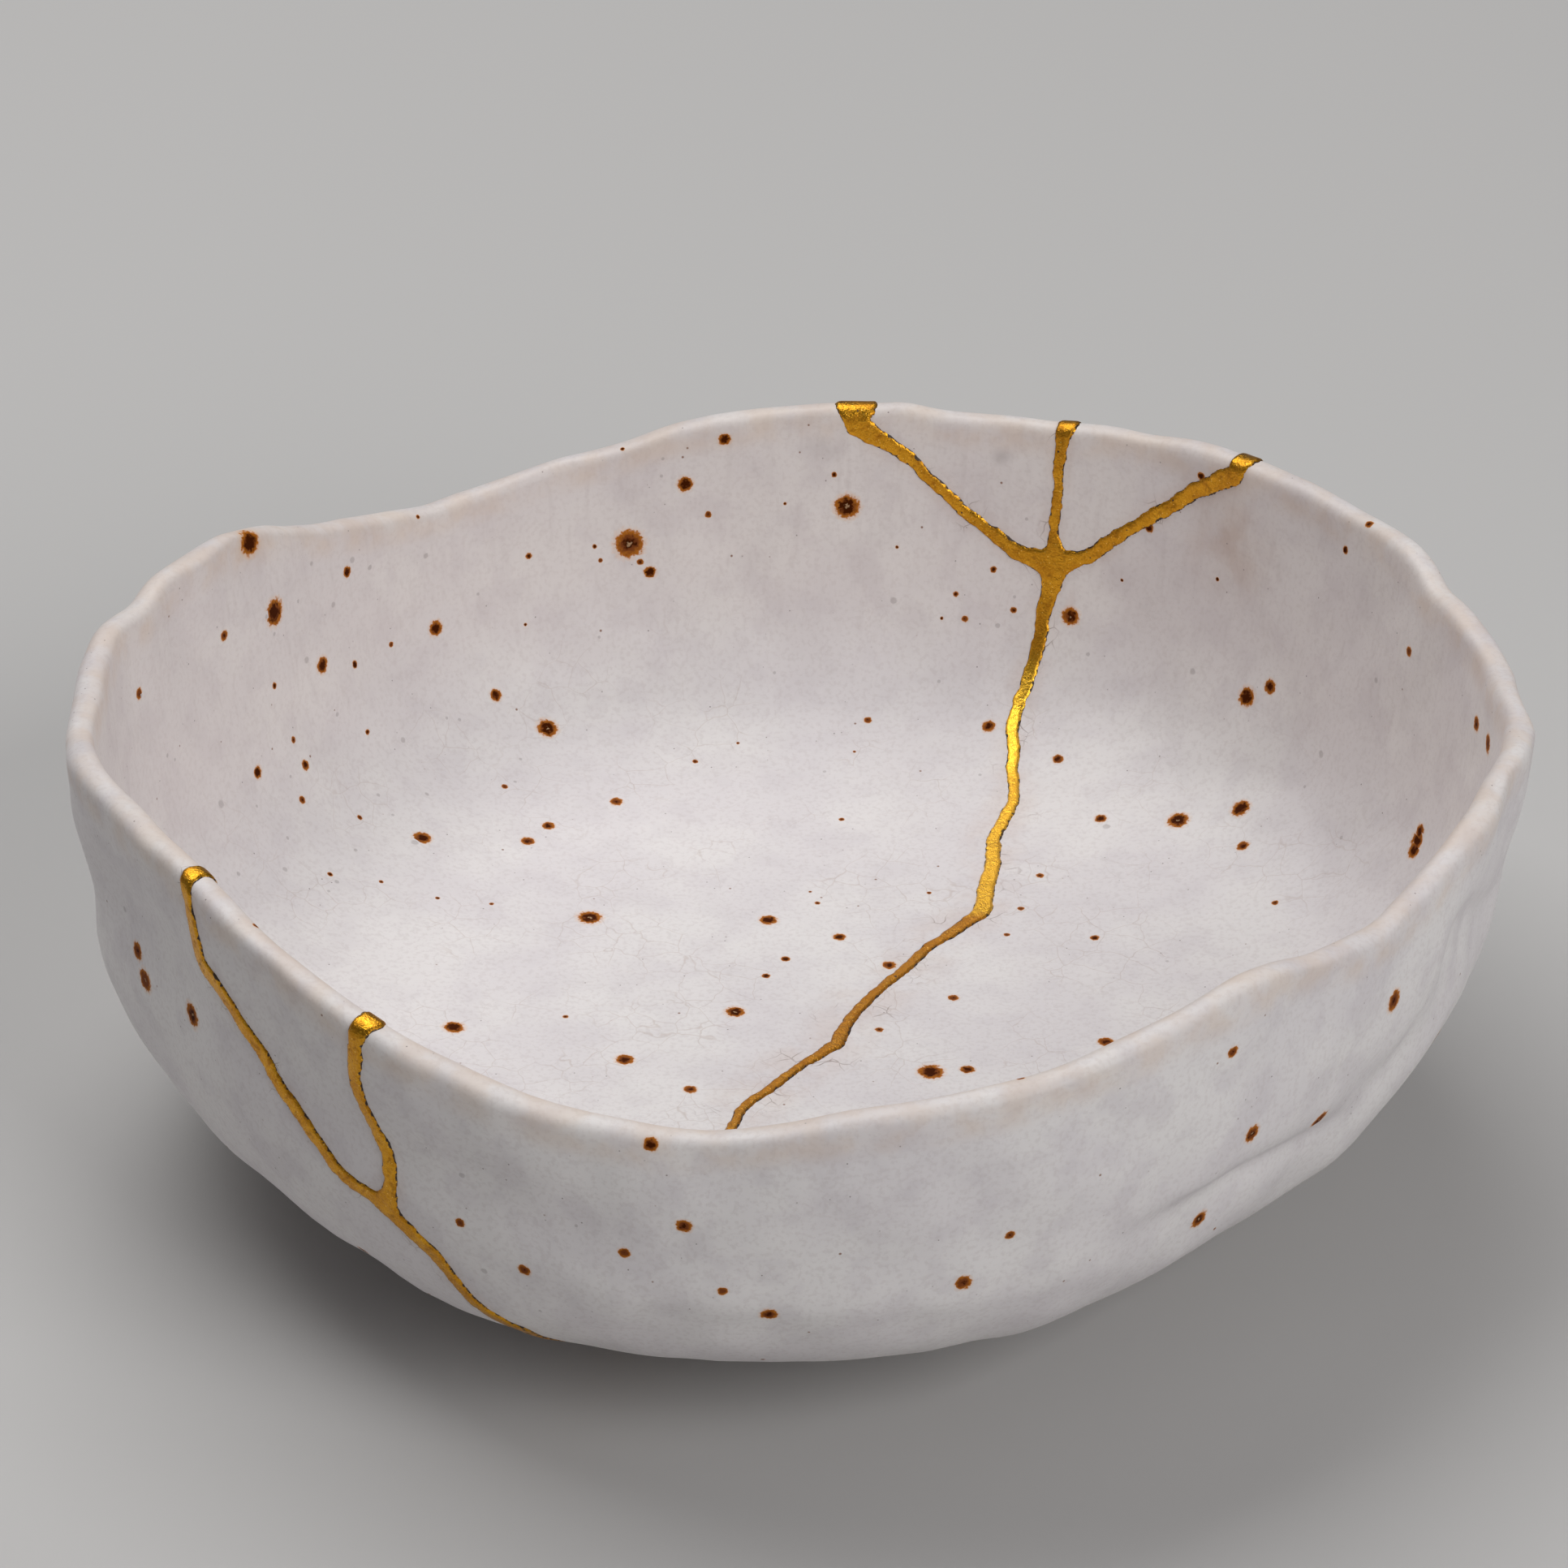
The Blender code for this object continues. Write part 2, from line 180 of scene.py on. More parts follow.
def turn_from(bearing, degrees):
    """The angle from a bearing in degrees, between minus and plus half a turn."""
    return np.mod(bearing - math.radians(degrees) + math.pi, 2 * math.pi) - math.pi


def nips(bearing, reach):
    """Push and lift of the wall: a bell shape round each nip, times the reach to a power."""
    push = np.zeros(np.shape(bearing))
    lift = np.zeros(np.shape(bearing))
    for nip_bearing, half_width, nip_lift, nip_push in RIM_NIPS:
        bell = np.exp(-((turn_from(bearing, nip_bearing) / math.radians(half_width)) ** 2))
        push += nip_push * bell * reach**NIP_FADE
        lift += nip_lift * bell * reach**NIP_FADE
    return push, lift


def wall_line(bearing, reach):
    """Radius, height and outward normal of the middle of the wall.

    At each bearing it is a cubic Bezier curve from the middle of the floor to the rim, plus the
    nips. The normal is the curve's direction, turned by a quarter.
    """
    rim = waved(RIM_RADIUS, RADIUS_WAVES, bearing)
    top = waved(RIM_HEIGHT, HEIGHT_WAVES, bearing)
    handle = WALL_STEEPNESS * (top - FLOOR_MIDDLE)
    radii = (0 * rim, FLOOR_FLATNESS * rim, rim - WALL_LEAN, rim)
    heights = (FLOOR_MIDDLE + 0 * top, FLOOR_MIDDLE + 0 * top, top - handle, top)
    back = 1 - reach
    shares = (back**3, 3 * back**2 * reach, 3 * back * reach**2, reach**3)
    slopes = (3 * back**2, 6 * back * reach, 3 * reach**2)
    push, lift = nips(bearing, reach)
    radius = push + sum(share * r for share, r in zip(shares, radii))
    height = lift + sum(share * z for share, z in zip(shares, heights))
    run = sum(s * (b - a) for s, a, b in zip(slopes, radii, radii[1:]))
    rise = sum(s * (b - a) for s, a, b in zip(slopes, heights, heights[1:]))
    length = np.hypot(run, rise)
    return radius, height, rise / length, -run / length


def thumb_depth(bearing, reach):
    """Depth of the thumb marks: a long bell shape round each mark."""
    depth = np.zeros(np.shape(bearing))
    for mark_bearing, mark_reach, half_length, half_height, mark_depth in THUMB_MARKS:
        along = RIM_RADIUS * turn_from(bearing, mark_bearing) / half_length
        up = WALL_LENGTH * (reach - mark_reach) / half_height
        depth += mark_depth * np.exp(-(along**2) - up**2)
    return depth


# %% [markdown]
# ## The skins
#
# The solid model's skins are smooth between the thumb marks. On the real bowl the palms left more:
# ripples a tenth of a millimetre deep, dimples where fingertips pressed, and low on the right a
# flat with a soft crease above it, where the clay was patted down. They could be a bump in the
# glaze, but then the outline would stay too clean, so they are pressed into the mesh. They only
# go inwards, so the bowl doesn't grow.
#
# Each skin is a function of two numbers, x and y, which are the reach drawn on a flat sheet in the
# direction of the bearing. Past a reach of 1, the skin turns over the rim. A quarter circle there
# would look cast, so the turn is a little squarer, and it catches the light along two fine lines.

# %% Both skins of the bowl, as functions of a flat sheet
OUTSIDE, INSIDE = 1, -1
# A step on the flat sheet that is small enough to read a slope from
SLOPE_STEP = 1e-4
# Places that are compared with all others at once, so that the arrays stay small
BLOCK = 4000
# Palm ripples: count round the bowl, count up the wall, depth, phase
PALM_RIPPLES = (
    (9, 2.2, 0.00016, 0.4),
    (-13, 3.1, 0.00011, 1.9),
    (17, -4.3, 0.00008, 3.1),
    (-23, 5.2, 0.00006, 5.0),
    (31, 7.7, 0.00004, 2.6),
    (-43, 9.0, 0.00003, 0.9),
)
# Fingertip dimples: size across, depth, seed
DIMPLES = (
    (12 * MM, 0.17 * MM, 21),
    (5 * MM, 0.04 * MM, 22),
)
# Patted flats outside: bearing and reach of the crease, tilt of the crease in reach for each
# radian, half length, height, depth
PATTED_FLATS = (
    (310, 0.785, -0.05, 0.0140, 0.0060, 0.0014),
    (341, 0.930, -0.35, 0.0050, 0.0040, 0.0009),
    (350, 0.870, -0.20, 0.0045, 0.0045, 0.0009),
    (208, 0.955, 0.10, 0.0090, 0.0050, 0.0006),
    (243, 0.930, 0.15, 0.0120, 0.0060, 0.0005),
    (270, 0.760, -0.10, 0.0200, 0.0070, 0.0005),
)
CREASE_SOFTNESS = 0.0006
# A dimple is the part of its rough pattern that is above minus this
DIMPLE_SHARE = 0.4
# Rough patterns: plane waves in one, and how far their wavelengths stray, as shares
PLANE_WAVES = 14
WAVELENGTH_SPREAD = (0.7, 1.5)
# How square the turn over the rim is: 1 is a circle, and less is squarer
RIM_SQUARENESS = 0.82
# The reach past 1 that makes a quarter turn over the rim, from the wall's speed at the rim
RIM_SPEED = 3 * WALL_STEEPNESS * (RIM_HEIGHT - FLOOR_MIDDLE)
RIM_TURN = math.pi / 2 * (RIM_THICKNESS / 2) / RIM_SPEED

reaches = np.linspace(0, 1, 401)
radii_of_reaches = wall_line(np.zeros(401), reaches)[0]


def reach_at(radius):
    """The reach where the wall's middle line has this radius, read off at bearing 0."""
    return np.interp(radius, radii_of_reaches, reaches)


FOOT_INNER = FOOT_RADIUS - FOOT_WIDTH
FOOT_PROFILE = (
    (0.0, FOOT_HEIGHT),
    (FOOT_INNER - FOOT_TAPER - FOOT_EDGE, FOOT_HEIGHT),
    (FOOT_INNER - FOOT_TAPER, FOOT_HEIGHT - 0.3 * FOOT_EDGE),
    (FOOT_INNER - 0.8 * FOOT_TAPER, FOOT_HEIGHT - 1.8 * FOOT_EDGE),
    (FOOT_INNER, FOOT_EDGE),
    (FOOT_INNER + 0.3 * FOOT_EDGE, 0.3 * FOOT_EDGE),
    (FOOT_INNER + FOOT_EDGE, 0.0),
    (FOOT_RADIUS - FOOT_EDGE, 0.0),
    (FOOT_RADIUS - 0.3 * FOOT_EDGE, 0.3 * FOOT_EDGE),
    (FOOT_RADIUS, FOOT_EDGE),
    (FOOT_RADIUS + 0.75 * FOOT_TAPER, FOOT_HEIGHT - FOOT_EDGE),
    (FOOT_RADIUS + FOOT_TAPER, FOOT_HEIGHT),
)
foot_radii, foot_heights = np.array(FOOT_PROFILE).T
foot_reaches = reach_at(foot_radii)
foot_reaches[0] = 0.0
BELLY_START = float(reach_at(FOOT_RADIUS + FOOT_TAPER + FOOT_WIDTH / 2))


def ripples(bearing, reach, phase):
    """Depth of the palm ripples: the crests of a few crossing waves, never less than 0."""
    depth = np.zeros(np.shape(bearing))
    for round_count, up_count, size, start in PALM_RIPPLES:
        wave = round_count * bearing + 2 * math.pi * up_count * reach + start + phase
        depth += size * (1 + np.cos(wave)) / 2
    return depth


def lumps(places, wavelength, seed):
    """A rough pattern in space, about -1 to 1: plane waves in random directions, added up."""
    rng = np.random.default_rng(seed)
    total = np.zeros(places.shape[:-1])
    for _ in range(PLANE_WAVES):
        way = rng.normal(size=3)
        stretch = wavelength * rng.uniform(*WAVELENGTH_SPREAD)
        way *= 2 * math.pi / (stretch * np.linalg.norm(way))
        total += np.sin(places @ way + rng.uniform(0, 2 * math.pi))
    return total / math.sqrt(PLANE_WAVES / 2) / 1.6


def dimples(bearing, radius, height, side):
    """Depth of the fingertip dimples: the higher part of each rough pattern, added up."""
    around = np.stack([radius * np.cos(bearing), radius * np.sin(bearing), height], -1)
    return sum(
        depth * np.clip(DIMPLE_SHARE + lumps(around, across, seed + 10 * side), 0, None)
        for across, depth, seed in DIMPLES
    )


def patted(bearing, reach):
    """Depth of the patted flats: none above the crease, a steady slope below it, then a fade.

    The way down from the crease, softened where it starts, as a share of the flat's height, times
    e to the power of 1 minus that share; and a bell shape along the crease.
    """
    depth = np.zeros(np.shape(bearing))
    for flat_bearing, flat_reach, tilt, half_length, flat_height, flat_depth in PATTED_FLATS:
        turn = turn_from(bearing, flat_bearing)
        down = WALL_LENGTH * (flat_reach + tilt * turn - reach)
        share = CREASE_SOFTNESS * np.logaddexp(0, down / CREASE_SOFTNESS) / flat_height
        bell = np.exp(-((RIM_RADIUS * turn / half_length) ** 4))
        depth += flat_depth * bell * share * np.exp(1 - share)
    return depth


def skin(x, y, side):
    """A point of the outer or inner skin for a place on the flat sheet.

    It is the wall's middle line plus half the thickness along the normal, less the marks; past a
    reach of 1 it is a quarter turn over the rim, a little squarer than a circle; and on the
    outside it gives way to the foot.
    """
    bearing = np.arctan2(y, x)
    reach = np.hypot(x, y)
    on_wall = np.minimum(reach, 1)
    radius, height, out, up = wall_line(bearing, on_wall)
    half = (FLOOR_THICKNESS + (RIM_THICKNESS - FLOOR_THICKNESS) * on_wall) / 2
    over = np.clip((reach - 1) / RIM_TURN, 0, 1) * math.pi / 2
    marks = ripples(bearing, on_wall, side) + dimples(bearing, radius, height, side)
    marks = marks * np.clip(4 * on_wall - 1, 0, 1)
    if side == OUTSIDE:
        marks = marks + thumb_depth(bearing, on_wall) + patted(bearing, on_wall)
    top_marks = ripples(bearing, on_wall, 0.0) + dimples(bearing, radius, height, 0)
    across = side * (half - marks) * np.cos(over) ** RIM_SQUARENESS
    along = (half - top_marks) * np.sin(over) ** RIM_SQUARENESS
    radius = radius + across * out - along * up
    height = height + across * up + along * out
    if side == OUTSIDE:
        share = np.clip((reach - foot_reaches[-1]) / (BELLY_START - foot_reaches[-1]), 0, 1)
        share = share * share * (3 - 2 * share)
        radius = share * radius + (1 - share) * np.interp(reach, foot_reaches, foot_radii)
        height = share * height + (1 - share) * np.interp(reach, foot_reaches, foot_heights)
    turned = np.stack([radius * np.cos(bearing), radius * np.sin(bearing), height], -1)
    return turned + [0.0, AXIS_SHIFT, 0.0]


def skin_slopes(x, y, side):
    """The skin's two slopes along the flat sheet, and its normal, from small steps each way."""
    step = SLOPE_STEP
    along_x = (skin(x + step, y, side) - skin(x - step, y, side)) / (2 * step)
    along_y = (skin(x, y + step, side) - skin(x, y - step, side)) / (2 * step)
    normal = -side * np.cross(along_x, along_y)
    normal /= np.linalg.norm(normal, axis=-1, keepdims=True)
    return along_x, along_y, normal


print("rim turns over in a reach of", round(RIM_TURN, 4), "and the belly starts at", round(BELLY_START, 3))

# %% [markdown]
# ## The breaks
#
# A bowl breaks along lines that run from the rim and meet in joins. Each break is a list of places,
# as bearing in degrees, reach, and the width in millimetres of the gold over it. Between two
# places it runs straight on the flat sheet. The corners are rounded off a little, and a small
# wander is added, because neither a crack nor a brush goes dead straight.

# %% Places along the breaks
BACK_JOIN = (66.5, 0.840, 2.0)
FRONT_JOIN = (238.7, 0.796, 1.6)
BACK_LEFT_BREAK = (
    (70.3, 0.856, 1.7),
    (73.0, 0.883, 1.2),
    (76.9, 0.922, 1.15),
    (79.9, 0.957, 1.3),
    (82.6, 0.977, 1.5),
    (84.4, 0.990, 2.0),
    (85.4, 1.000, 2.6),
    (85.6, 1.028, 4.0),
)
BACK_MIDDLE_BREAK = (
    (66.6, 0.890, 0.95),
    (66.7, 0.944, 0.95),
    (66.7, 0.977, 1.1),
    (66.6, 0.998, 1.3),
    (66.5, 1.028, 2.0),
)
BACK_RIGHT_BREAK = (
    (63.2, 0.862, 1.4),
    (59.6, 0.906, 1.15),
    (56.6, 0.938, 1.25),
    (53.8, 0.965, 1.5),
    (51.0, 0.989, 1.8),
    (49.3, 1.000, 1.9),
    (49.0, 1.028, 2.3),
)
FLOOR_BREAK = (
    (66.4, 0.815, 1.8),
    (66.8, 0.739, 1.3),
    (67.1, 0.587, 1.2),
    (66.8, 0.495, 1.25),
    (64.4, 0.414, 1.1),
    (61.8, 0.350, 1.0),
    (60.7, 0.292, 1.2),
    (53.6, 0.206, 1.5),
    (48.2, 0.173, 1.6),
    (47.0, 0.116, 0.95),
    (33.2, 0.051, 0.95),
    (358.7, 0.028, 1.0),
    (311.8, 0.035, 1.3),
    (276.5, 0.044, 0.95),
    (254.0, 0.093, 0.95),
    (253.0, 0.150, 1.0),
    (250.0, 0.300, 1.1),
    (251.5, 0.450, 1.2),
    (248.4, 0.612, 1.3),
    (244.6, 0.674, 1.3),
    (242.5, 0.748, 1.5),
)
FRONT_LEFT_BREAK = (
    (237.6, 0.798, 1.4),
    (234.6, 0.804, 1.35),
    (230.8, 0.840, 1.4),
    (226.4, 0.893, 1.45),
    (222.4, 0.930, 1.5),
    (219.6, 0.948, 1.7),
    (218.8, 0.985, 1.3),
    (218.4, 1.000, 1.3),
    (218.0, 1.028, 1.7),
)
FRONT_RIGHT_BREAK = (
    (239.3, 0.834, 1.3),
    (239.2, 0.878, 1.3),
    (237.6, 0.926, 1.3),
    (237.1, 0.960, 1.4),
    (237.6, 1.000, 1.6),
    (238.2, 1.028, 2.0),
)
BREAKS = {
    "back left": (BACK_JOIN, *BACK_LEFT_BREAK),
    "back middle": (BACK_JOIN, *BACK_MIDDLE_BREAK),
    "back right": (BACK_JOIN, *BACK_RIGHT_BREAK),
    "floor": (BACK_JOIN, *FLOOR_BREAK, FRONT_JOIN),
    "front left": (FRONT_JOIN, *FRONT_LEFT_BREAK),
    "front right": (FRONT_JOIN, *FRONT_RIGHT_BREAK),
}
PAST_RIM = 1.2
STEP = 0.25 * MM
ROUNDING = 1.2 * MM
WANDER = 0.05 * MM


def sheet_speed(reach):
    """Length of wall for each unit of the flat sheet, in metres, at bearing 0."""
    radius, height = wall_line(np.zeros(401), reaches)[:2]
    speed = np.hypot(np.gradient(radius, reaches), np.gradient(height, reaches))
    return np.interp(reach, reaches, speed)


def smoothed(values, width):
    """A running mean over a bell-shaped window, with both ends held where they are."""
    reach_out = 3 * width
    window = np.exp(-((np.arange(-reach_out, reach_out + 1) / width) ** 2))
    before = 2 * values[0] - values[reach_out:0:-1]
    after = 2 * values[-1] - values[-2 : -reach_out - 2 : -1]
    padded = np.concatenate([before, values, after])
    return np.convolve(padded, window / window.sum(), "valid")


def course(places, seed):
    """x, y and half width every quarter of a millimetre along a break on the flat sheet.

    The straight course between its places, smoothed, plus two sine waves across it that fade
    to nothing at both ends. A course that reaches the rim goes on past it.
    """
    rows = np.array(places, float)
    turn = np.radians(rows[:, 0])
    corners = np.stack([rows[:, 1] * np.cos(turn), rows[:, 1] * np.sin(turn)], -1)
    if rows[-1, 1] >= 1:
        corners = np.concatenate([corners, corners[-1:] * PAST_RIM])
        rows = np.concatenate([rows, rows[-1:]])
    lengths = np.hypot(*np.diff(corners, axis=0).T)
    lengths *= sheet_speed((rows[1:, 1] + rows[:-1, 1]) / 2)
    along = np.concatenate([[0], np.cumsum(lengths)])
    s = np.linspace(0, along[-1], int(along[-1] / STEP))
    width = int(ROUNDING / STEP / 2)
    x, y, half = (
        smoothed(np.interp(s, along, values), width)
        for values in (corners[:, 0], corners[:, 1], rows[:, 2] * MM / 2)
    )
    rng = np.random.default_rng(seed)
    waves = sum(
        np.sin(2 * math.pi * s / length + rng.uniform(0, 2 * math.pi))
        for length in (6.1 * MM, 9.7 * MM)
    )
    ends = np.clip(np.minimum(s, s[-1] - s) / (3 * MM), 0, 1)
    reach = np.hypot(x, y)
    shift = WANDER * waves * ends * np.clip((1 - reach) * 30, 0, 1) / sheet_speed(reach)
    across = np.stack([-np.gradient(y), np.gradient(x)])
    across /= np.hypot(*across)
    return x + shift * across[0], y + shift * across[1], half


courses = {name: course(places, seed) for seed, (name, places) in enumerate(BREAKS.items())}
for name, (x, y, half) in courses.items():
    print(name, "break:", len(x), "steps, gold", np.round(2000 * half[[0, -1]], 1), "mm wide")

# %% [markdown]
# ## Cutting the clay into sherds
#
# The bowl could be modelled whole and cut with a Boolean. On a mesh this fine that is slow, and it
# leaves slivers. Instead, the flat sheet is ruled into small cells, by rings and by bearings. Each
# cell goes to the sherd whose outline holds its middle. The corners along a break are then drawn
# onto the break itself, less half the hairline of lacquer that parts two sherds.
#
# Both skins use the same cells, so each sherd closes itself: its two skins share the top of the
# rim, and quads through the wall join them along the break.

# %% Ruling the flat sheet
BEARINGS = 640
RING_STEP = 0.68 * MM
RIM_STEPS = 6
HAIRLINE = 0.15 * MM
# The clay of the foot stays this much above the floor, so that the gold across it lies flush
SOLE_GAP = 0.03 * MM


def ring_reaches(step, rim_steps):
    """Reaches of the rings: even steps along the wall, with the foot's own rings among them."""
    length = np.concatenate([[0], np.cumsum(sheet_speed(reaches[1:]) * np.diff(reaches))])
    even = np.interp(np.linspace(0, length[-1], int(length[-1] / step)), length, reaches)
    gap = np.abs(even[:, None] - foot_reaches[None, 1:]).min(1)
    keep = gap * 0.12 > 0.4 * step
    keep[[0, -1]] = True
    wall = np.union1d(even[keep], foot_reaches)
    return np.concatenate([wall, 1 + RIM_TURN * np.arange(1, rim_steps + 1) / rim_steps])


def ruled(ring_list, bearing_count):
    """x and y of every corner of the ruled flat sheet, ring by ring."""
    turn = 2 * math.pi * np.arange(bearing_count) / bearing_count
    return ring_list[:, None] * np.cos(turn), ring_list[:, None] * np.sin(turn)


def corner_numbers(ring_count, bearing_count):
    """Numbers of the outer and the inner corners: they share the rim's top, and a pole is one."""
    outer = np.arange(ring_count * bearing_count).reshape(ring_count, bearing_count)
    inner = outer + outer.size
    inner[-1] = outer[-1]
    outer[0] = outer[0, 0]
    inner[0] = inner[0, 0]
    return outer.ravel(), inner.ravel()


def skin_faces(cells, outer, inner):
    """Quads of the chosen cells on both skins, each facing out of the clay."""
    ring, turn = np.nonzero(cells)
    count = cells.shape[1]
    after = (turn + 1) % count
    a, b = ring * count + turn, ring * count + after
    c, d = b + count, a + count
    return np.concatenate(
        [
            np.stack([outer[a], outer[b], outer[c], outer[d]], -1),
            np.stack([inner[a], inner[d], inner[c], inner[b]], -1),
        ]
    )


def border_edges(cells):
    """Start and end corners of the edges round the chosen cells, but for the rim's top."""
    count = cells.shape[1]
    left = np.roll(cells, 1, axis=1)
    edges = []
    for chosen, flip in ((cells & ~left, False), (~cells & left, True)):
        ring, turn = np.nonzero(chosen)
        a, b = ring * count + turn, (ring + 1) * count + turn
        edges.append(np.stack([b, a] if flip else [a, b], -1))
    below, above = cells[:-1], cells[1:]
    for chosen, flip in ((above & ~below, True), (~above & below, False)):
        ring, turn = np.nonzero(chosen)
        a, b = (ring + 1) * count + turn, (ring + 1) * count + (turn + 1) % count
        edges.append(np.stack([b, a] if flip else [a, b], -1))
    return np.concatenate(edges)


def new_piece(name, points, faces):
    """A mesh object of these points and quads. A quad whose corners coincide becomes a triangle."""
    used, faces = np.unique(faces, return_inverse=True)
    faces = faces.reshape(-1, 4)
    corners = [tuple(dict.fromkeys(face)) for face in faces.tolist()]
    mesh = bpy.data.meshes.new(name)
    mesh.from_pydata(points[used].tolist(), [], [face for face in corners if len(face) > 2])
    mesh.validate()
    mesh.shade_smooth()
    mesh.set_sharp_from_angle(angle=math.radians(50))
    piece = bpy.data.objects.new(name, mesh)
    bpy.context.scene.collection.objects.link(piece)
    return piece, used


clay_rings = ring_reaches(RING_STEP, RIM_STEPS)
clay_x, clay_y = ruled(clay_rings, BEARINGS)
clay_outer, clay_inner = corner_numbers(*clay_x.shape)
print("clay:", len(clay_rings), "rings of", BEARINGS, "corners")


# %% Each cell's sherd
def rim_arc(start, end):
    """Corners along the rim, anticlockwise between two bearings, beyond its top."""
    turn = np.radians(np.arange(start, end if end > start else end + 360, 1.0))
    return PAST_RIM * np.stack([np.cos(turn), np.sin(turn)], -1)


def line(name):
    """A break's course as pairs, from its join to the rim."""
    return np.stack(courses[name][:2], -1)


def outline(start, arc, end, *between):
    """A sherd's outline, anticlockwise: out along a break, round the rim, and back along others."""
    return np.concatenate([line(start), rim_arc(*arc), line(end)[::-1], *between])


OUTLINES = {
    "sherd_left": outline("back left", (85.6, 218.0), "front left", line("floor")[::-1]),
    "sherd_right": outline("front right", (238.2, 49.0), "back right", line("floor")),
    "sherd_back_rim_left": outline("back middle", (66.5, 85.6), "back left"),
    "sherd_back_rim_right": outline("back right", (49.0, 66.5), "back middle"),
    "sherd_front_rim": outline("front left", (218.0, 238.2), "front right"),
}


def inside(outline_points, x, y):
    """Which places lie inside an outline: those that an odd number of its edges cross east of."""
    odd = np.zeros(np.shape(x), bool)
    for (ax, ay), (bx, by) in zip(outline_points, np.roll(outline_points, -1, axis=0)):
        if ay != by:
            across = (ay > y) != (by > y)
            odd ^= across & (x < (bx - ax) * (y - ay) / (by - ay) + ax)
    return odd


middle_turn = 2 * math.pi * (np.arange(BEARINGS) + 0.5) / BEARINGS
middle_reach = (clay_rings[1:] + clay_rings[:-1])[:, None] / 2
middle_x, middle_y = middle_reach * np.cos(middle_turn), middle_reach * np.sin(middle_turn)
owner = np.zeros(middle_x.shape, int)
for number, points in enumerate(OUTLINES.values()):
    owner[inside(points, middle_x, middle_y)] = number
for _ in range(3):
    east = np.roll(owner, -1, axis=1)
    crossed = (owner[:-1] == east[1:]) & (owner[1:] == east[:-1]) & (owner[:-1] != owner[1:])
    owner[1:][crossed] = owner[:-1][crossed]
print("cells of each sherd:", dict(zip(OUTLINES, np.bincount(owner.ravel()).tolist())))


# %% Making the sherds
def drawn_to_break(x, y, outline_points):
    """Moves places to the nearest point of an outline, and by half a hairline into it."""
    starts = outline_points
    ends = np.roll(outline_points, -1, axis=0)
    along = ends - starts
    length = np.maximum(np.hypot(*along.T), 1e-12)
    offset = np.stack([x, y], -1)[:, None] - starts
    share = np.clip((offset * along).sum(-1) / length**2, 0, 1)
    nearest = starts + share[..., None] * along
    gap = np.hypot(x[:, None] - nearest[..., 0], y[:, None] - nearest[..., 1])
    pick = gap.argmin(1)
    row = np.arange(len(x))
    inwards = np.stack([-along[:, 1], along[:, 0]], -1) / length[:, None]
    move = HAIRLINE / sheet_speed(np.minimum(np.hypot(x, y), 1))
    return (nearest[row, pick] + inwards[pick] * move[:, None]).T


def add_number(mesh, name, values):
    """Stores a number at every corner of a mesh, for its finish to read."""
    mesh.attributes.new(name, "FLOAT", "POINT").data.foreach_set("value", values)


flat_lines = np.concatenate([np.stack([x, y], -1)[::3] for x, y, _ in courses.values()])
clay_places = np.stack([clay_x.ravel(), clay_y.ravel()], -1)
from_break = np.concatenate(
    [
        WALL_LENGTH * np.linalg.norm(block[:, None] - flat_lines, axis=-1).min(1)
        for block in np.array_split(clay_places, 40)
    ]
)
sherds = {}
for number, (name, points) in enumerate(OUTLINES.items()):
    cells = owner == number
    edges = border_edges(cells)
    rim_ends = np.nonzero(cells[-1] != np.roll(cells[-1], 1))[0] + (len(clay_rings) - 1) * BEARINGS
    border = np.union1d(edges, rim_ends)
    x, y = clay_x.ravel().copy(), clay_y.ravel().copy()
    x[border], y[border] = drawn_to_break(x[border], y[border], points)
    top = border >= (len(clay_rings) - 1) * BEARINGS
    stretch = clay_rings[-1] / np.hypot(x[border[top]], y[border[top]])
    x[border[top]] *= stretch
    y[border[top]] *= stretch
    places = np.concatenate([skin(x, y, OUTSIDE), skin(x, y, INSIDE)])
    places[:, 2] = np.maximum(places[:, 2], SOLE_GAP)
    a, b = edges.T
    walls = np.stack([clay_outer[a], clay_outer[b], clay_inner[b], clay_inner[a]], -1)
    faces = np.concatenate([skin_faces(cells, clay_outer, clay_inner), walls])
    piece, used = new_piece(name.replace("sherd", "glazed_sherd"), places, faces)
    reach = np.tile(np.hypot(x, y), 2)[used]
    add_number(piece.data, "from_rim", np.abs(1 - np.minimum(reach, 1)) * WALL_LENGTH)
    add_number(piece.data, "from_break", np.tile(from_break, 2)[used])
    add_number(piece.data, "is_inside", (used >= clay_x.size).astype(float))
    sherds[name] = piece
    print(piece.name, "has", len(piece.data.polygons), "faces")

# %% [markdown]
# ## The gold seam
#
# The mender's lacquer fills each break and stands a little proud of the glaze, with rounded
# shoulders and slightly ragged edges. Where breaks meet, it flows together in a web. A bead swept
# along each break would cross its neighbours there and leave creases. Instead the seam is a
# height over the skin: for each place on a finely ruled sheet, the distance to each break, less
# half the gold's width, and the smallest of these, rounded where two are alike. Below 0 the place
# is in the gold. The sheet rises to its full height inside the line and dips under the glaze
# outside it, so the line that shows is smooth, and finer than the cells.

# %% Distance from the gold's edge
SEAM_BEARINGS = 1900
SEAM_STEP = 0.20 * MM
SEAM_PROUD = 0.17 * MM
SHOULDER = 0.30 * MM
MELT = 0.30 * MM
RAGGED = 0.045 * MM
SEAM_MARGIN = 0.10 * MM
WEB_HALF = 0.10 * MM


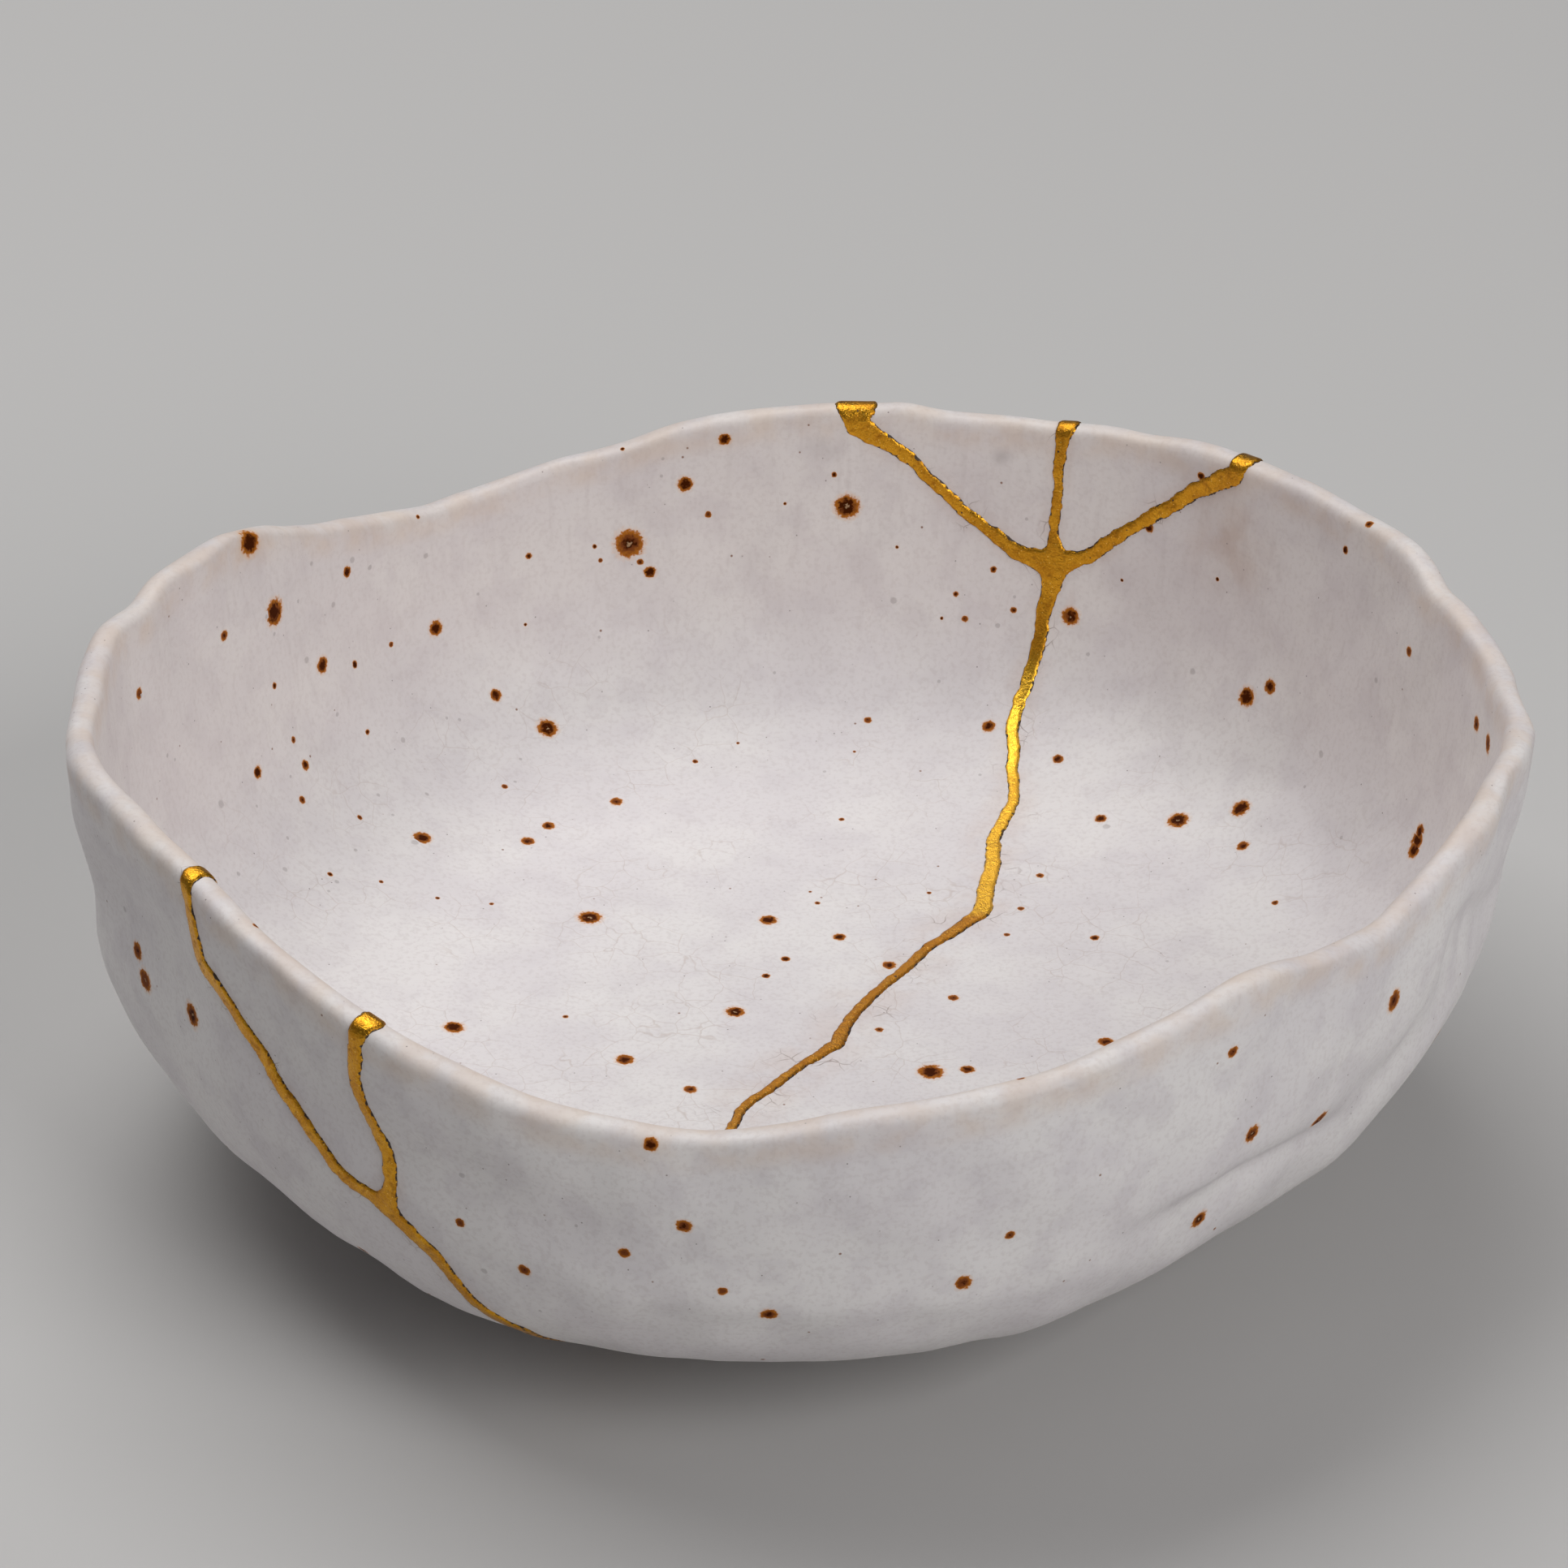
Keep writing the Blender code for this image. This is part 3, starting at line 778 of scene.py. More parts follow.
def near_breaks(side, places):
    """How far each place lies from the gold's edge on one skin, and its nearest place on a break.

    The distance to each break, less its half width, with the breaks melted together: minus the
    melting length times the logarithm of the sum of exp(-distance / melting length).
    """
    count = len(places)
    total = np.zeros(count)
    best = np.full(count, np.inf)
    foot = np.zeros((count, 2))
    for cx, cy, half in courses.values():
        on_break = skin(cx, cy, side)
        for block in np.array_split(np.arange(count), max(1, count // BLOCK)):
            low = places[block].min(0) - 4 * MM
            high = places[block].max(0) + 4 * MM
            near = np.nonzero(((on_break > low) & (on_break < high)).all(-1))[0]
            if not len(near):
                continue
            gap = np.linalg.norm(places[block, None] - on_break[None, near], axis=-1)
            pick = gap.argmin(1)
            edge = gap[np.arange(len(block)), pick] - half[near[pick]]
            total[block] += np.exp(-np.minimum(edge, 10 * MM) / MELT)
            closer = edge < best[block]
            best[block[closer]] = edge[closer]
            foot[block[closer]] = np.stack([cx[near[pick]], cy[near[pick]]], -1)[closer]
    melted = -MELT * np.log(np.maximum(total, 1e-12))
    rough = sum(size * lumps(places, size * MM, 4) for size in (1.7, 0.8, 0.5))
    return melted + RAGGED * rough, foot


seam_rings = ring_reaches(SEAM_STEP, 12)
seam_x, seam_y = ruled(seam_rings, SEAM_BEARINGS)
cell_of = 0.02
coarse = {tuple(c) for c in np.floor(flat_lines / cell_of).astype(int).tolist()}
wide = {(i + di, j + dj) for i, j in coarse for di in (-1, 0, 1) for dj in (-1, 0, 1)}
span = int(PAST_RIM / cell_of) + 3
close = np.zeros((2 * span, 2 * span), bool)
close[tuple((np.array(sorted(wide)) + span).clip(0, 2 * span - 1).T)] = True
column = np.floor(seam_x / cell_of).astype(int) + span
row = np.floor(seam_y / cell_of).astype(int) + span
candidates = np.nonzero(close[column, row].ravel())[0]

seam_edge, seam_foot = {}, {}
for side in (OUTSIDE, INSIDE):
    x, y = seam_x.ravel()[candidates], seam_y.ravel()[candidates]
    places = skin(x, y, side)
    edge, foot = near_breaks(side, places)
    seam_edge[side] = np.full(seam_x.size, 1.0)
    seam_edge[side][candidates] = edge
    seam_foot[side] = np.zeros((seam_x.size, 2))
    seam_foot[side][candidates] = foot
print("places looked at:", len(candidates), "of", seam_x.size)


# %% Making the seam
def raised(edge):
    """Height over the skin: a quarter-round shoulder inside the edge, a steep dip outside it."""
    share = np.clip(-edge / SHOULDER, 0, 1)
    return np.where(edge < 0, SEAM_PROUD * np.sqrt(1 - (1 - share) ** 2), -1.1 * edge)


nearest_edge = np.minimum(seam_edge[OUTSIDE], seam_edge[INSIDE]).reshape(seam_x.shape)
around = np.minimum(nearest_edge, np.roll(nearest_edge, -1, axis=1))
cells = np.minimum(around[:-1], around[1:]) < SEAM_MARGIN
for _ in range(3):
    east = np.roll(cells, -1, axis=1)
    crossed = (cells[:-1] == east[1:]) & (cells[1:] == east[:-1]) & (cells[:-1] != cells[1:])
    cells[1:][crossed] = True
    cells[:-1][crossed] = True

ring, turn = np.nonzero(cells)
after = (turn + 1) % SEAM_BEARINGS
in_seam = np.unique(
    np.concatenate([r * SEAM_BEARINGS + t for r in (ring, ring + 1) for t in (turn, after)])
)
x, y = seam_x.ravel()[in_seam], seam_y.ravel()[in_seam]
seam_places, seam_webs = {}, {}
for side in (OUTSIDE, INSIDE):
    places = skin(x, y, side)
    lift = np.clip(raised(seam_edge[side][in_seam]), -0.25 * MM, None)
    if side == OUTSIDE:
        lift = np.minimum(lift, np.maximum(places[:, 2], 0))
    normal = skin_slopes(x, y, side)[2]
    top = np.hypot(x, y) > 1 + 0.999 * RIM_TURN
    seam_places[side] = places + normal * lift[:, None]
    foot = seam_foot[side][in_seam]
    away = np.stack([x, y], -1) - foot
    away *= WEB_HALF / np.maximum(np.linalg.norm(away, axis=-1, keepdims=True), 1e-9)
    away /= sheet_speed(np.minimum(np.hypot(x, y), 1))[:, None]
    web = foot + away
    web[top] *= (np.hypot(x, y)[top] / np.hypot(*web[top].T))[:, None]
    on_skin = skin(*web.T, side)
    middle = (skin(*web.T, OUTSIDE) + skin(*web.T, INSIDE)) / 2
    deep = middle - on_skin
    length = np.maximum(np.linalg.norm(deep, axis=-1, keepdims=True), 1e-9)
    seam_webs[side] = on_skin + deep * np.minimum(0.45 * MM / length, 0.5)

# The rim's top: both skins and both webs meet in one line
top_lift = np.where(top, raised((seam_edge[OUTSIDE] + seam_edge[INSIDE])[in_seam] / 2), 0)
top_normal = skin_slopes(x, y, OUTSIDE)[2] + skin_slopes(x, y, INSIDE)[2]
top_normal /= np.linalg.norm(top_normal, axis=-1, keepdims=True)
top_place = skin(x, y, OUTSIDE) + top_normal * np.clip(top_lift, -0.25 * MM, None)[:, None]
for side in (OUTSIDE, INSIDE):
    seam_places[side][top] = top_place[top]

seam_outer, seam_inner = corner_numbers(*seam_x.shape)
total = 2 * seam_x.size
all_places = np.zeros((2 * total, 3))
all_places[in_seam] = seam_places[OUTSIDE]
all_places[in_seam + seam_x.size] = seam_places[INSIDE]
all_places[total + in_seam] = seam_webs[OUTSIDE]
all_places[total + in_seam + seam_x.size] = seam_webs[INSIDE]
a, b = border_edges(cells).T
strips = [
    (seam_outer[a], seam_outer[b], total + seam_outer[b], total + seam_outer[a]),
    (total + seam_outer[a], total + seam_outer[b], total + seam_inner[b], total + seam_inner[a]),
    (total + seam_inner[a], total + seam_inner[b], seam_inner[b], seam_inner[a]),
]
faces = np.concatenate(
    [skin_faces(cells, seam_outer, seam_inner), *(np.stack(strip, -1) for strip in strips)]
)
gold_piece, used = new_piece("raised_gold_seam", all_places, faces)
depth_in = np.zeros(2 * total)
depth_in[: seam_x.size] = seam_edge[OUTSIDE]
depth_in[seam_x.size : total] = seam_edge[INSIDE]
add_number(gold_piece.data, "from_edge", -depth_in[used])
add_number(gold_piece.data, "is_inside", (used >= seam_x.size).astype(float))
print(gold_piece.name, "has", len(gold_piece.data.polygons), "faces")

for piece in (*sherds.values(), gold_piece):
    edges = np.zeros(2 * len(piece.data.edges), int)
    piece.data.edges.foreach_get("vertices", edges)
    corner_edges = np.zeros(len(piece.data.loops), int)
    piece.data.loops.foreach_get("edge_index", corner_edges)
    uses = np.bincount(corner_edges, minlength=len(piece.data.edges))
    print(piece.name, "edges with other than two faces:", int((uses != 2).sum()))

# %% [markdown]
# ## Iron spots
#
# Grains of iron in the clay melt in the kiln and bleed up through the glaze. Each leaves a dark
# brown core, an amber ring with a ragged edge, and a faint stain round it. Painting them would
# take a picture, and a random pattern would put them in the wrong places. Here each spot is a
# place on the bowl with a width. Every face of a sherd stores the nearest spot's centre and size,
# and the finish draws the spot from the exact distance to that centre, so even the smallest is
# sharp. The sides that the picture doesn't show get scattered spots of the same kinds.

# %% Places of the iron spots
# Iron spots: bearing, reach, width in millimetres, and how dark the core is
SPOTS_INSIDE = (
    (106.9, 0.885, 2.6, 0.45), (86.1, 0.899, 2.2, 0.8), (151.7, 1.003, 2.3, 0.8),
    (149.7, 0.923, 2.4, 0.8), (97.8, 0.994, 1.1, 0.8), (101.5, 0.947, 1.4, 0.75),
    (105.9, 0.852, 0.6, 0.6), (105, 0.832, 1.1, 0.8), (99.3, 0.901, 0.6, 0.3),
    (87.4, 0.94, 0.5, 0.7), (138, 0.959, 1, 0.8), (128.1, 1.011, 0.4, 0.7),
    (107.2, 1.018, 0.4, 0.7), (116.7, 0.909, 0.6, 0.7), (127.3, 0.837, 1.4, 0.7),
    (143.4, 0.835, 1.5, 0.7), (138.5, 0.819, 0.7, 0.9), (151.3, 0.829, 0.6, 0.6),
    (122.2, 0.659, 1.1, 0.7), (118.1, 0.54, 1.8, 0.8), (139.1, 0.685, 0.5, 0.6),
    (156.8, 0.716, 1.1, 0.9), (149.8, 0.681, 0.9, 0.7), (152.5, 0.623, 0.7, 0.4),
    (126.8, 0.438, 0.6, 0.3), (115.3, 0.34, 1.1, 0.2), (142.5, 0.421, 1.6, 0.6),
    (126.4, 0.332, 1.1, 0.6), (131, 0.322, 1.2, 0.4), (157.5, 0.467, 0.5, 0.6),
    (151.9, 0.323, 0.4, 0.7), (147.8, 0.27, 0.4, 0.3), (139.1, 0.185, 2, 0.8),
    (99, 0.116, 1.5, 0.8), (85, 0.139, 0.5, 0.4), (75.1, 0.095, 1.1, 0.8),
    (95.9, 0.066, 0.8, 0.7), (111.2, 0.048, 0.7, 0.7), (48.9, 0.078, 1.2, 0.5),
    (171, 0.034, 1.6, 0.8), (347.6, 0.047, 0.7, 0.4), (186.6, 0.219, 1.7, 0.8),
    (182, 0.136, 0.5, 0.4), (207, 0.109, 1.5, 0.5), (233.3, 0.096, 1.1, 0.3),
    (324.2, 0.1, 2.1, 0.7), (331.8, 0.119, 1.2, 0.7), (16, 0.093, 0.9, 0.3),
    (352.9, 0.198, 1.3, 0.5), (27.9, 0.224, 0.8, 0.5), (38.3, 0.166, 0.5, 0.2),
    (43.7, 0.199, 0.6, 0.2), (48.4, 0.248, 0.7, 0.3), (69.4, 0.501, 1.2, 0.6),
    (60.4, 0.457, 1, 0.6), (69.7, 0.758, 0.6, 0.6), (72, 0.823, 0.6, 0.7),
    (74.2, 0.733, 0.6, 0.3), (75.3, 0.777, 0.5, 0.5), (64.2, 0.76, 1.6, 0.6),
    (57.6, 0.913, 0.8, 0.7), (53, 0.987, 0.8, 0.8), (32.9, 1.018, 0.8, 0.6),
    (35, 0.977, 0.7, 0.9), (50.3, 0.372, 1.1, 0.7), (42.4, 0.436, 1.9, 0.8),
    (37.4, 0.522, 1.7, 0.8), (33, 0.466, 1.1, 0.5), (43.6, 0.722, 1.7, 0.8),
    (41.3, 0.757, 1.3, 0.6), (21.7, 0.428, 0.6, 0.3), (13.9, 0.706, 1.5, 0.6),
    (14.2, 0.722, 1.7, 0.6), (14.4, 0.738, 1.3, 0.6), (8.6, 0.951, 1.3, 0.3),
    (4.2, 0.956, 1.6, 0.2), (82.6, 0.496, 0.7, 0.2), (172.3, 0.938, 1, 0.1),
    (157.7, 0.921, 0.9, 0.2), (23.1, 0.935, 0.9, 0.2), (81.2, 0.844, 0.3, 0.5),
    (92, 0.905, 0.3, 0.6), (103.1, 0.404, 0.5, 0.3), (83.5, 0.276, 0.5, 0.5),
    (97.5, 0.441, 0.3, 0.3), (61.6, 0.172, 0.4, 0.3), (87.2, 0.155, 0.3, 0.2),
    (110.2, 0.894, 0.4, 0.6), (109.7, 0.87, 0.4, 0.2), (132.8, 0.831, 0.5, 0.2),
    (117.7, 0.795, 0.3, 0.8), (150.2, 0.734, 0.6, 0.3), (146.7, 0.526, 0.5, 0.2),
    (154, 0.399, 0.4, 0.3), (83.5, 0.417, 0.3, 0.3), (76.4, 0.731, 0.3, 0.8),
    (59.8, 0.833, 0.3, 0.9), (50, 0.872, 0.4, 0.9), (286.2, 1.018, 0.6, 0.2),
    (225, 1.015, 0.6, 0.3),
)
SPOTS_OUTSIDE = (
    (215.9, 0.86, 2, 0.6), (207.1, 0.835, 1.9, 0.1), (260.1, 1.009, 1.1, 0.6),
    (262.3, 0.91, 1.2, 0.3), (268.3, 0.755, 1.3, 0.4), (282.5, 0.783, 1.3, 0.3),
    (285.8, 0.844, 0.8, 0.1), (307.9, 0.843, 1.5, 0.5), (318.4, 0.797, 1.7, 0.4),
    (305.7, 0.689, 1.5, 0.6), (326.3, 0.925, 1.8, 0.4), (304.2, 0.959, 1, 0.1),
    (258, 0.859, 0.9, 0.1), (250.3, 0.789, 1, 0.15), (265, 0.809, 0.8, 0.1),
    (205.8, 0.861, 1.5, 0.1), (245.3, 0.829, 0.8, 0.1), (342.6, 0.69, 2.6, 0.2),
)
# Scattered spots: inside or outside, count, then the spans of bearing, reach, width and core.
# The widths crowd at the small end. A core less than 0 is a spot deep under the glaze, and grey.
SCATTERED_SPOTS = (
    (INSIDE, 12, (200, 340), (0.72, 0.97), (0.3, 1.8), (0.1, 0.85)),
    (OUTSIDE, 55, (2, 178), (0.35, 1.0), (0.3, 1.8), (0.1, 0.85)),
    (OUTSIDE, 22, (182, 358), (0.26, 0.66), (0.3, 1.8), (0.1, 0.85)),
    (OUTSIDE, 6, (0, 360), (0.01, 0.10), (0.3, 1.8), (0.1, 0.85)),
    (INSIDE, 40, (0, 180), (0.25, 1.0), (0.25, 0.6), (-1, -0.5)),
    (INSIDE, 14, (130, 175), (0.45, 0.98), (0.3, 0.55), (-1, -0.5)),
    (OUTSIDE, 50, (0, 360), (0.2, 1.0), (0.25, 0.7), (-1, -0.5)),
)
# Some spots wider than this many millimetres have a pale middle: a painted highlight, for a glint
PALE_FROM = 1.3
PALE_SHARE = 0.35


def spot_rows():
    """Centre, radius, core and kind of every spot: the listed and the scattered ones.

    The kind is 1 for a pale middle that is a painted highlight, -1 for a grey spot deep under the glaze,
    and 0 for the rest.
    """
    rng = np.random.default_rng(11)
    groups = [(INSIDE, np.array(SPOTS_INSIDE, float)), (OUTSIDE, np.array(SPOTS_OUTSIDE, float))]
    for side, count, bearings, reach_range, (narrow, wide), cores in SCATTERED_SPOTS:
        columns = (
            rng.uniform(*bearings, count),
            rng.uniform(*reach_range, count),
            narrow + (wide - narrow) * rng.random(count) ** 3,
            rng.uniform(*cores, count),
        )
        groups.append((side, np.stack(columns, -1)))
    rows = []
    for side, table in groups:
        turn = np.radians(table[:, 0])
        centres = skin(table[:, 1] * np.cos(turn), table[:, 1] * np.sin(turn), side)
        chance = rng.random(len(table))
        pale = (table[:, 2] > PALE_FROM) & (chance < PALE_SHARE)
        kind = np.where(table[:, 3] < 0, -1, pale)
        rows.append(np.column_stack([centres, table[:, 2] * MM / 2, table[:, 3], kind]))
    return np.concatenate(rows)


def add_spots(mesh, spots):
    """Stores at each face the centre of the nearest spot, and its radius, core and kind."""
    centres = np.zeros(3 * len(mesh.polygons))
    mesh.polygons.foreach_get("center", centres)
    centres = centres.reshape(-1, 3)
    nearest = np.zeros(len(centres), int)
    for block in np.array_split(np.arange(len(centres)), 1 + len(centres) // BLOCK):
        gap = np.linalg.norm(centres[block, None] - spots[None, :, :3], axis=-1) - spots[:, 3]
        nearest[block] = gap.argmin(1)
    look = spots[nearest, 3:] * (1000, 1, 1)
    for name, values in (("spot_centre", spots[nearest, :3]), ("spot_look", look)):
        stored = mesh.attributes.new(name, "FLOAT_VECTOR", "FACE")
        stored.data.foreach_set("vector", values.astype(np.float32).ravel())


spots = spot_rows()
for piece in sherds.values():
    add_spots(piece.data, spots)
print("iron spots:", len(spots), "from", round(2000 * spots[:, 3].min(), 2), "mm across")

# %% [markdown]
# ## Writing finishes as sums
#
# A finish is a graph of nodes, but most of it is arithmetic. A small class wraps a node's output,
# so that `1 - mask` or `cloud * 0.3` adds the Math node and wires it. Every other node comes from
# one method, add, which takes the node's type, its settings and what goes into its sockets.


# %% Values and finishes
class Value:
    """What a node gives. Arithmetic on it adds a Math node and gives that node's value."""

    def __init__(self, finish, socket):
        self.finish = finish
        self.socket = socket

    def __add__(self, other):
        return self.finish.maths("ADD", self, other)

    def __sub__(self, other):
        return self.finish.maths("SUBTRACT", self, other)

    def __rsub__(self, other):
        return self.finish.maths("SUBTRACT", other, self)

    def __mul__(self, other):
        return self.finish.maths("MULTIPLY", self, other)

    def __truediv__(self, other):
        return self.finish.maths("DIVIDE", self, other)

    __radd__ = __add__
    __rmul__ = __mul__


class Finish:
    """A material and the helpers that add nodes to it. Lengths in patterns are millimetres."""

    def __init__(self, name):
        self.material = bpy.data.materials.new(name)
        self.material.use_nodes = True
        self.tree = self.material.node_tree
        self.shader = self.tree.nodes["Principled BSDF"]
        metres = self.add("ShaderNodeTexCoord", output="Object")
        self.place = self.vector("SCALE", metres, scale=1000)

    def feed(self, socket, value):
        """Links a value to a socket, or sets the socket to a number, a colour or a vector."""
        if isinstance(value, Value):
            self.tree.links.new(value.socket, socket)
        elif socket.type == "RGBA":
            socket.default_value = (*value, 1)
        else:
            socket.default_value = value

    def add(self, kind, settings=None, inputs=None, output=0):
        """Adds a node: its settings are set first, then its sockets are fed."""
        node = self.tree.nodes.new(kind)
        for name, value in (settings or {}).items():
            setattr(node, name, value)
        for key, value in (inputs or {}).items():
            self.feed(node.inputs[key], value)
        return Value(self, node.outputs[output])

    def maths(self, operation, a, b):
        """A Math node on two numbers."""
        return self.add("ShaderNodeMath", {"operation": operation}, {0: a, 1: b})

    def vector(self, operation, a, b=(0, 0, 0), scale=1.0, output=0):
        """A Vector Math node."""
        fed = {0: a, "Scale": scale} if operation == "SCALE" else {0: a, 1: b}
        return self.add("ShaderNodeVectorMath", {"operation": operation}, fed, output)

    def mix(self, share, a, b):
        """The colour a, turned into b by a share."""
        return self.add("ShaderNodeMix", {"data_type": "RGBA"}, {0: share, 6: a, 7: b}, 2)

    def between(self, value, low, high):
        """0 below low and 1 above high, with a smooth step between them."""
        settings = {"interpolation_type": "SMOOTHSTEP"}
        return self.add("ShaderNodeMapRange", settings, {0: value, 1: low, 2: high})

    def noise(self, size, detail=2.0, seed=0, place=None, output=0):
        """Soft noise with lumps of a size."""
        shifted = self.vector("ADD", place or self.place, (17.0 * seed, -31.0 * seed, 5.0 * seed))
        fed = {"Vector": shifted, "Scale": 1 / size, "Detail": detail}
        return self.add("ShaderNodeTexNoise", {}, fed, output)

    def cells(self, size, feature="F1", place=None):
        """Cells of a size: the distance to their middles or to their edges, in cell sizes."""
        fed = {"Vector": place or self.place, "Scale": 1 / size}
        return self.add("ShaderNodeTexVoronoi", {"feature": feature}, fed)

    def stored(self, name, output="Fac"):
        """A number or a vector that is stored in the mesh."""
        return self.add("ShaderNodeAttribute", {"attribute_name": name}, output=output)

    def parts(self, vector):
        """The three numbers of a vector."""
        first = self.add("ShaderNodeSeparateXYZ", inputs={0: vector})
        return [Value(self, socket) for socket in first.socket.node.outputs]


def srgb(red, green, blue):
    """A colour as it looks on a screen, 0 to 255, as the light it stands for."""
    shares = np.array([red, green, blue]) / 255
    return tuple(np.where(shares < 0.04045, shares / 12.92, ((shares + 0.055) / 1.055) ** 2.4))


# %% [markdown]
# ## The glaze
#
# The glaze is off-white and satin. It is never one colour: it is lilac-grey in clouds where it
# lies thick, warm on the wall and warmer still where it ran thin over the rim, and stained beige
# under the right-hand break. The floor has a fine net of crazing, dark hair cracks run off the
# breaks, and everywhere there are pinholes. Each of these is a mask from noise or cells, and the
# colours are mixed over each other in the order of the real layers. The iron spots are matt, so a
# second shader with next to no reflection is mixed in where they are.

# %% Glaze: body colour
glaze = Finish("satin_glaze")
from_rim = glaze.stored("from_rim") * 1000
is_inside = glaze.stored("is_inside")
height = glaze.parts(glaze.place)[2]

clouds = glaze.between(glaze.noise(12, 3, seed=1), 0.38, 0.62)
mottling = glaze.between(glaze.noise(3.6, 3, seed=2), 0.44, 0.68)
sand = glaze.between(glaze.noise(0.42, 2, seed=7), 0.45, 0.70)
upright = glaze.vector("MULTIPLY", glaze.place, (1, 1, 0.10))
streaks = glaze.between(glaze.noise(0.7, 2, seed=3, place=upright), 0.5, 0.75)
on_wall = glaze.between(height, 9, 26)
colour = glaze.mix(clouds, srgb(229, 224, 225), srgb(235, 231, 230))
colour = glaze.mix(mottling * (on_wall * 0.16 + 0.18), colour, srgb(205, 197, 202))
colour = glaze.mix(sand * 0.20, colour, srgb(190, 178, 176))
warm = on_wall * is_inside * 0.30
colour = glaze.mix(warm, colour, srgb(226, 212, 203))
colour = glaze.mix(warm * streaks * 0.50, colour, srgb(198, 186, 183))

rim_cloud = glaze.between(glaze.noise(3.4, 3, seed=4), 0.34, 0.66)
rim_wear = (1 - glaze.between(from_rim, 0.1, 2.6)) * (rim_cloud * 0.80 + 0.20)
colour = glaze.mix(rim_wear * 0.38, colour, srgb(222, 196, 172))

# %% Glaze: stains, crazing and pinholes
# Stains: bearing, reach, half height and half width in millimetres, strength and colour
STAINS = (
    (49.0, 0.925, 7.5, 7.5, 0.46, srgb(196, 164, 142)),
    (64.4, 0.778, 2.9, 0.8, 0.40, srgb(186, 128, 100)),
    (88.8, 0.972, 1.5, 2.6, 0.34, srgb(150, 138, 136)),
    (72.0, 0.975, 1.3, 1.6, 0.34, srgb(150, 138, 136)),
    (152.0, 1.000, 3.5, 6.0, 0.40, srgb(206, 168, 134)),
)
for bearing, reach, half_height, half_width, strength, stain_colour in STAINS:
    turn = math.radians(bearing)
    middle = skin(reach * math.cos(turn), reach * math.sin(turn), INSIDE) / MM
    shape = (1 / half_width, 1 / half_width, 1 / half_height)
    here = glaze.vector("MULTIPLY", glaze.place, shape)
    stain_gap = glaze.vector("DISTANCE", here, tuple(middle * shape), output="Value")
    stain = (1 - glaze.between(stain_gap, 0, 1)) * (rim_cloud * 0.7 + 0.3)
    colour = glaze.mix(stain * strength, colour, stain_colour)

bent = glaze.vector("ADD", glaze.place, glaze.noise(1.8, 1, 6, output="Color"))
crack_gap = glaze.cells(3.1, "DISTANCE_TO_EDGE", bent)
on_floor = is_inside * (1 - on_wall) * 0.9 + 0.06
crazed = glaze.between(glaze.noise(9, 1, seed=5), 0.46, 0.64)
cracks = (1 - glaze.between(crack_gap, 0.0, 0.020)) * crazed * on_floor
colour = glaze.mix(cracks * 0.30, colour, srgb(176, 152, 136))

by_break = 1 - glaze.between(glaze.stored("from_break") * 1000, 0.9, 2.7)
hair_gap = glaze.cells(1.7, "DISTANCE_TO_EDGE", bent)
hairs = (1 - glaze.between(hair_gap, 0.0, 0.040)) * by_break
hairs = hairs * glaze.between(glaze.noise(4, 2, seed=15), 0.54, 0.68)
colour = glaze.mix(by_break * rim_cloud * 0.16, colour, srgb(196, 158, 132))
colour = glaze.mix(hairs * 0.60, colour, srgb(112, 80, 62))

pit_gap = glaze.cells(1.15)
pits = (1 - glaze.between(pit_gap, 0.035, 0.085)) * glaze.between(mottling, 0.15, 0.6)
colour = glaze.mix(pits * 0.75, colour, srgb(120, 102, 98))

speck_gap = glaze.cells(3.7)
specks = 1 - glaze.between(speck_gap, 0.018, 0.042)
colour = glaze.mix(specks * 0.85, colour, srgb(128, 76, 36))

# %% Glaze: iron spots
spot_radius, spot_core, spot_kind = glaze.parts(glaze.stored("spot_look", "Vector"))
ragged = glaze.vector("SUBTRACT", glaze.noise(0.34, 3, 8, output="Color"), (0.5, 0.5, 0.5))
ragged = glaze.vector("SCALE", ragged, scale=spot_radius * 0.80)
spot_centre = glaze.vector("SCALE", glaze.stored("spot_centre", "Vector"), scale=1000)
spot_gap = glaze.vector(
    "DISTANCE", glaze.vector("ADD", glaze.place, ragged), spot_centre, output="Value"
)
spot_share = spot_gap / spot_radius
halo = 1 - glaze.between(spot_share, 0.85, 1.50)
ring = 1 - glaze.between(spot_share, 0.92, 1.12)
core_share = spot_share + glaze.noise(0.38, 3, seed=14) * 1.1 - 0.55
core = 1 - glaze.between(core_share, spot_core * 0.62 - 0.05, spot_core * 0.70 + 0.22)
# A pale middle on some wide spots: a painted highlight, standing for a glint on the iron
painted_glint_middle = (1 - glaze.between(spot_share, 0.08, 0.22)) * glaze.between(spot_kind, 0, 1)
deep = 1 - glaze.between(spot_kind, -1, 0)
amber = glaze.mix(glaze.between(spot_share, 0.5, 1.05), (0.18, 0.038, 0.000), (0.48, 0.15, 0.004))
ring = ring * (1 - deep)
halo_colour = glaze.mix(deep, srgb(232, 168, 96), srgb(110, 94, 90))
colour = glaze.mix(halo * (0.42 - deep * 0.12), colour, halo_colour)
colour = glaze.mix(ring * 0.97, colour, amber)
colour = glaze.mix(core * ring, colour, (0.056, 0.010, 0.000))
# Painted highlight: the pale middle of some wide spots
colour = glaze.mix(painted_glint_middle * 0.7, colour, srgb(206, 170, 130))

# %% Glaze: bare foot, gloss and relief
uneven_line = height + glaze.noise(2.5, 2, seed=9) * 0.8
bare = 1 - glaze.between(uneven_line, 1.0, 1.25)
scorched = glaze.between(uneven_line, 0.7, 1.1) * (1 - glaze.between(uneven_line, 1.2, 1.9))
grit = glaze.between(glaze.noise(0.5, 2, seed=10), 0.4, 0.65)
colour = glaze.mix(scorched * 0.6, colour, srgb(176, 122, 84))
colour = glaze.mix(bare, colour, glaze.mix(grit, srgb(172, 144, 118), srgb(194, 170, 146)))

